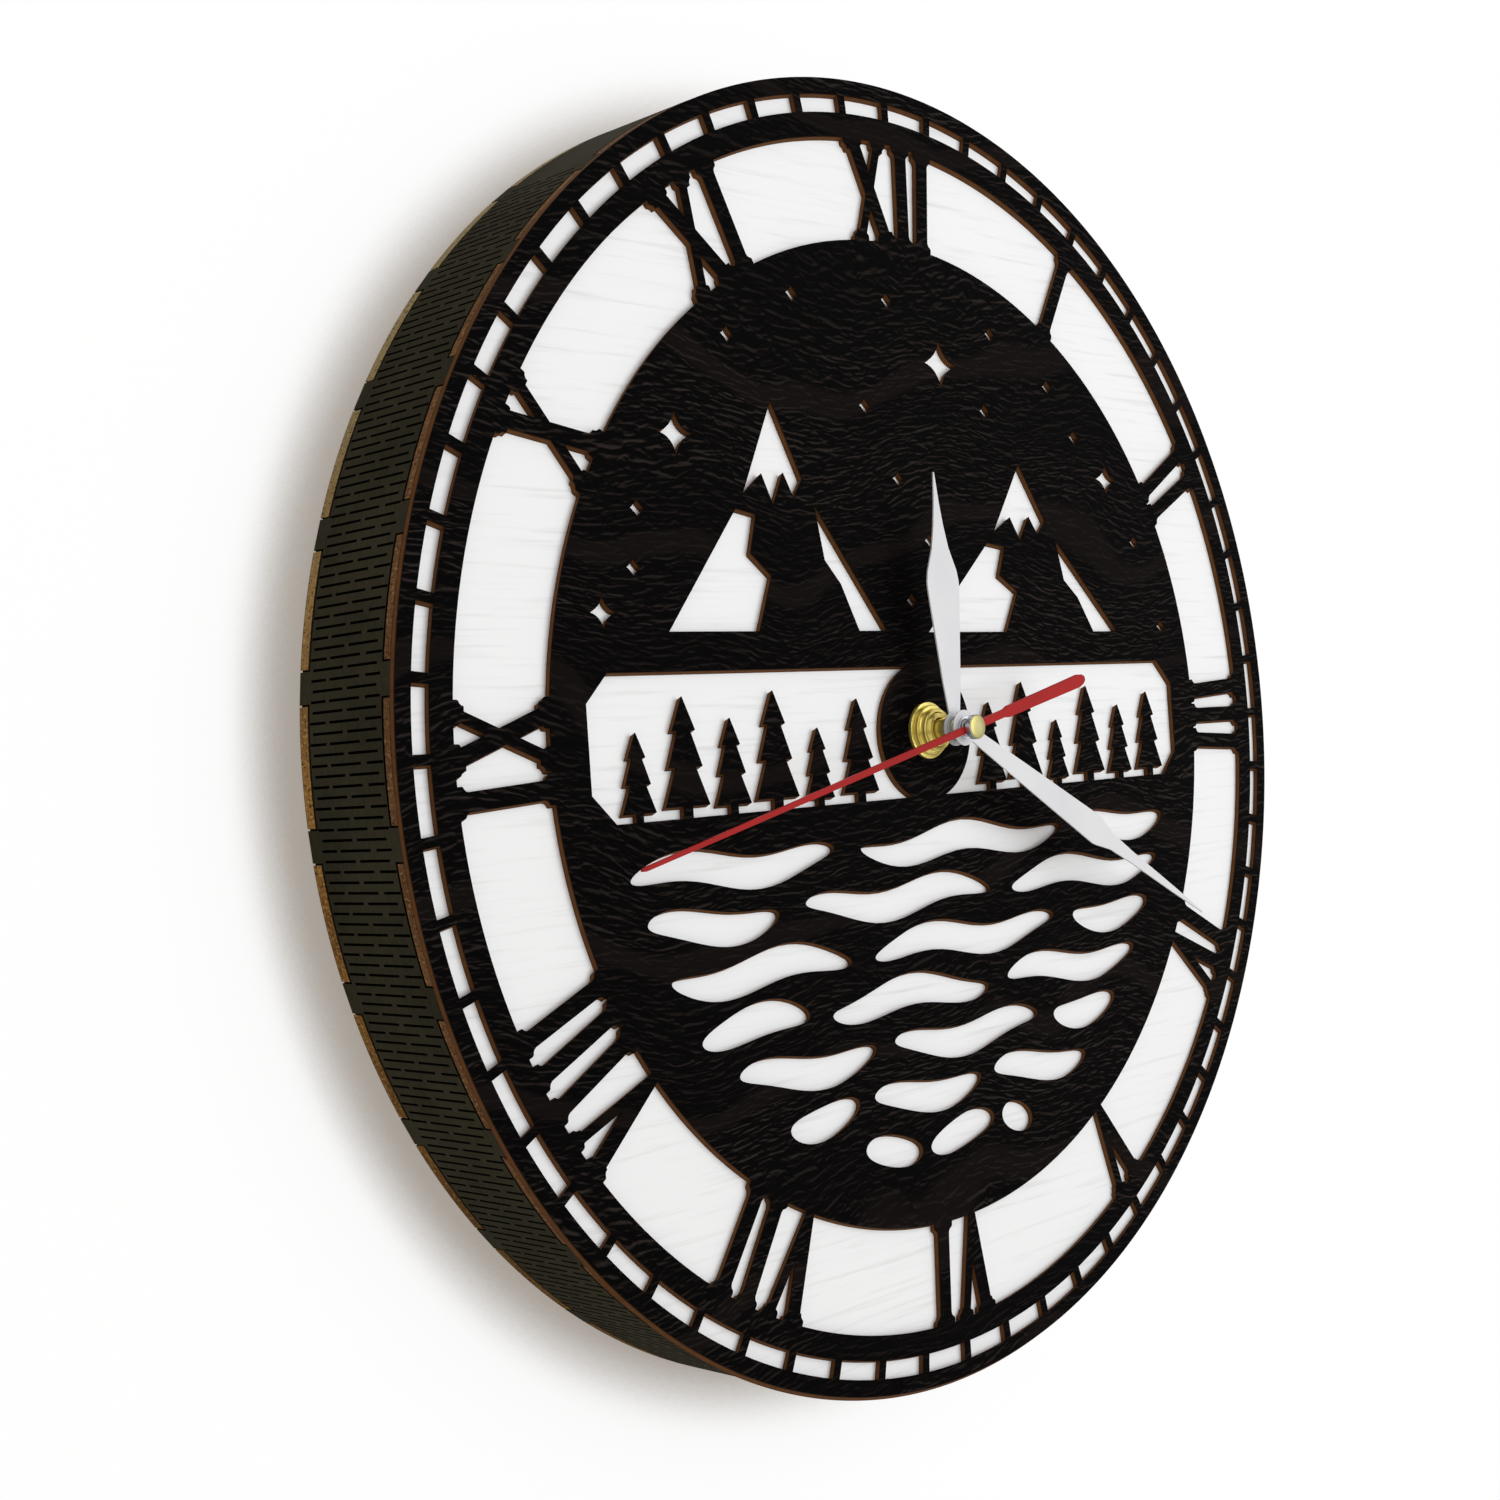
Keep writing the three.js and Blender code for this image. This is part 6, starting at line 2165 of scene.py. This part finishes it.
@dataclass(frozen=True)
class LightStrip:
    """The tape of lamps round the inside of the band, in millimetres."""

    node: str = "light_strip"
    outer: float = 146.7
    thick: float = 0.5
    start: float = 200.0
    sweep: float = 320.0
    lamps: int = 24
    size: float = 5.0
    height: float = 1.4
    lens: float = 0.7
    lens_height: float = 0.2
    lens_rise: float = 0.4

    def lamp_parts(self, graph: GeometryTree, material: str, side: Wire, tall: Wire, radius: Wire) -> Wire:
        """One part of every lamp.

        Args:
            graph: The tree.
            material: Name of the input that gives its material.
            side: Its width and depth.
            tall: Its height.
            radius: Distance of its middle from the clock's axis.

        Returns:
            The parts' geometry.
        """
        turn = graph.given("First") + graph.index() * graph.given("Pitch")
        shape = graph.cube(side, side, tall)
        ring = graph.round_rim(shape, graph.given("Lamps"), turn, radius, graph.given("Depth"))
        return graph.dressed(ring, material)

    def build(self) -> None:
        """Makes the strip."""
        inner = self.outer - self.thick
        pitch = self.sweep / self.lamps
        outline = sector(inner, self.outer, self.start, self.start + self.sweep, 2 * self.lamps)
        piece = flat_piece(f"{self.node}_piece", [outline], bool, depths(self.node))
        piece.data.materials.append(STRIP.material())
        graph = GeometryTree("strip lamps", {
            "Lamps": self.lamps, "Pitch": math.radians(pitch), "First": math.radians(self.start + pitch / 2),
            "Radius": inner * MM, "Depth": middle_of(self.node).y, "Size": self.size * MM,
            "Height": self.height * MM, "Lens": self.lens, "Package": STRIP.material(),
            "Glass": PHOSPHOR.material(),
        })
        size, height, radius = (graph.given(label) for label in ("Size", "Height", "Radius"))
        package = self.lamp_parts(graph, "Package", size, height, radius - height * 0.5)
        lens_height = height * self.lens_height
        lens_middle = radius - height - lens_height * self.lens_rise
        glass = self.lamp_parts(graph, "Glass", size * graph.given("Lens"), lens_height, lens_middle)
        graph.bake(piece, graph.joined(graph.given("Geometry"), package, glass))
        settle(piece, Body.CASE, [self.node])


FITTINGS = tuple(
    TurnedPart(node, body, profile, placing=outwards(turn), steps=ROUND_STEPS)
    for node, body, turn, profile in (
        ("power_inlet", Body.CASE, INLET_TURN, (
            (0.0, 135.2), (3.7, 135.2), (3.85, 135.35), (3.85, 150.3), (5.8, 150.3), (5.8, 150.9),
            (5.5, 151.2), (2.95, 151.2), (2.75, 151.0), (2.75, 141.7), (1.0, 141.7), (1.0, 149.9),
            (0.7, 150.2), (0.0, 150.2),
        )),
        ("button_housing", Body.CASE, BUTTON_TURN, (
            (0.0, 139.2), (4.5, 139.2), (4.6, 139.3), (4.6, 150.3), (6.3, 150.3), (6.3, 150.8),
            (5.9, 151.2), (3.0, 151.2), (2.9, 151.1), (2.9, 150.0), (3.6, 150.0), (3.6, 140.7),
            (0.0, 140.7),
        )),
        ("light_button", Body.BUTTON, BUTTON_TURN, (
            (0.0, 148.2), (3.3, 148.2), (3.3, 149.7), (2.6, 149.7), (2.6, 152.95), (2.45, 153.25),
            (2.1, 153.4), (0.0, 153.4),
        )),
    )
)


def dress_frame() -> None:
    """Gives the finishes to the frame's nodes that still show."""
    for name, node in frame["nodes"].items():
        if node.hide_render:
            continue
        finish = SLOT_FINISHES[SLOTS[name]]
        node.data.materials.clear()
        node.data.materials.append(finish.material())
        LOG.info("%s keeps its solid, in %s", name, finish.label)


# Stage and camera

@dataclass(frozen=True)
class Studio:
    """White wall and pale floor with a painted shadow round the clock, soft light from the right and above,
    in metres and watts.
    """

    wall_gap: float = 0.0004
    wall_size: float = 6.0
    floor_drop: float = 0.9
    # Colour, reach, lean and span of the painted shadow round the clock, and the share of the surface that
    # glows in that colour.
    shade: Colour = srgb(174, 166, 157)
    shade_reach: float = 0.024
    shade_way: Triple = (0.5875, -0.7994, 0.1259)
    shade_span: Span = (0.38, 0.79)
    glow: float = 0.85
    sky: float = 0.55
    sky_colour: Colour = (1.0, 0.94, 0.87, 1.0)
    lamp_colour: Triple = (0.9, 0.955, 1.0)
    lamp_size: float = 1.7
    lamp_distance: float = 1.5
    key_power: float = 18.0
    key_way: Triple = (0.35, -1.0, 0.22)
    fill_power: float = 10.0
    fill_way: Triple = (0.8, 1.0, 0.45)

    def backdrop(self, label: str) -> bpy.types.Material:
        """White surface that is seen from its front and lets all light through; a painted shadow darkens it
        near the clock.

        Args:
            label: Name of the material.

        Returns:
            The material.
        """
        made, graph = new_material(label)
        seen = graph.direct_view() * (1.0 - graph.node("ShaderNodeNewGeometry", output="Backfacing"))
        # Painted shadow: ambient occlusion, leaned towards one side, darkens the colour near the clock, and
        # most of the surface glows in that colour instead of taking light.
        open_share = graph.node("ShaderNodeAmbientOcclusion", None, {
            "Distance": self.shade_reach, "Normal": graph.vector(*self.shade_way),
        }, "AO")
        tone = graph.mix(open_share.eased(*self.shade_span), self.shade, WHITE_LIGHT)
        lit = graph.node("ShaderNodeBsdfDiffuse", None, {"Color": tone})
        even = graph.node("ShaderNodeEmission", None, {"Color": tone, "Strength": 1.0})
        clear = graph.node("ShaderNodeBsdfTransparent")
        surface = graph.between(seen, clear, graph.between(self.glow, lit, even))
        graph.node("ShaderNodeOutputMaterial", None, {"Surface": surface})
        return made

    def sheet(self, name: str, corners: Sequence[Triple]) -> bpy.types.Object:
        """One flat white sheet of the stage.

        Args:
            name: Name of the sheet.
            corners: Its corners in order.

        Returns:
            The new object.
        """
        mesh = bpy.data.meshes.new(name)
        mesh.from_pydata(corners, [], [tuple(range(len(corners)))])
        mesh.materials.append(self.backdrop(f"{name} white"))
        shade(mesh)
        return linked(name, mesh)

    def light_sky(self) -> None:
        """Makes the world: an even light that is white to look at."""
        world = bpy.data.worlds.new("studio")
        world.use_nodes = True
        bpy.context.scene.world = world
        graph = Shader(world.node_tree)
        light, white = (
            graph.node("ShaderNodeBackground", None, {"Color": colour, "Strength": strength})
            for colour, strength in ((self.sky_colour, self.sky), (WHITE_LIGHT, 1.0))
        )
        surface = graph.between(graph.direct_view(), light, white)
        graph.node("ShaderNodeOutputWorld", None, {"Surface": surface})

    def lamp(self, name: str, way: Triple, power: float) -> None:
        """Round lamp that shines on the clock from one side.

        Args:
            name: Name of the lamp.
            way: Direction from the clock to the lamp.
            power: Its power in watts.
        """
        data = bpy.data.lights.new(name, "AREA")
        data.shape = "DISK"
        data.size = self.lamp_size
        data.energy = power
        data.color = self.lamp_colour
        reach = Vector(way).normalized() * self.lamp_distance
        turn = (-reach).to_track_quat("-Z", "Y").to_matrix().to_4x4()
        linked(name, data).matrix_world = Matrix.Translation(AXIS + reach) @ turn

    def build(self) -> None:
        """Makes the wall, the floor, the sky and the lamps."""
        half = self.wall_size / 2
        depth = rear_of("back_plate") + self.wall_gap
        low = AXIS.z - self.floor_drop
        wall = self.sheet("wall", [
            (-half, depth, low), (half, depth, low), (half, depth, half), (-half, depth, half),
        ])
        floor = self.sheet("floor", [
            (-half, -half, low), (half, -half, low), (half, half, low), (-half, half, low),
        ])
        self.light_sky()
        self.lamp("key", self.key_way, self.key_power)
        self.lamp("fill", self.fill_way, self.fill_power)
        bpy.context.scene.view_settings.view_transform = "Standard"


@dataclass(frozen=True)
class PhotoView:
    """The camera at the photograph's place, in metres; its lens and sensor in millimetres."""

    place: Triple = (-0.3690, -0.3352, -0.1156)
    forward: Triple = (0.7134, 0.7007, 0.0038)
    upward: Triple = (0.0441, -0.0503, 0.9978)
    lens: float = 49.14
    sensor: float = 36.0
    nearest: float = 0.01

    def build(self) -> None:
        """Makes the camera and hands it to the scene."""
        ahead = Vector(self.forward).normalized()
        right = ahead.cross(Vector(self.upward)).normalized()
        up = right.cross(ahead)
        data = bpy.data.cameras.new("photo view")
        data.lens = self.lens
        data.sensor_width = self.sensor
        data.clip_start = self.nearest
        camera = linked("photo view", data)
        turn = Matrix((right, up, -ahead)).transposed().to_4x4()
        camera.matrix_world = Matrix.Translation(Vector(self.place)) @ turn
        bpy.context.scene.camera = camera


def main() -> None:
    """Builds the clock and its stage."""
    logging.basicConfig(level=logging.INFO, format="%(message)s")
    case = DialBoard(), Boards(), SideBand()
    movement = *HANDS, *SHAFT, *TUBES, *MOULDED, Cell(), CoverMarks()
    for part in (*case, *movement, LightStrip(), *FITTINGS):
        part.build()
    dress_frame()
    Studio().build()
    PhotoView().build()


if __name__ == "__main__":
    main()
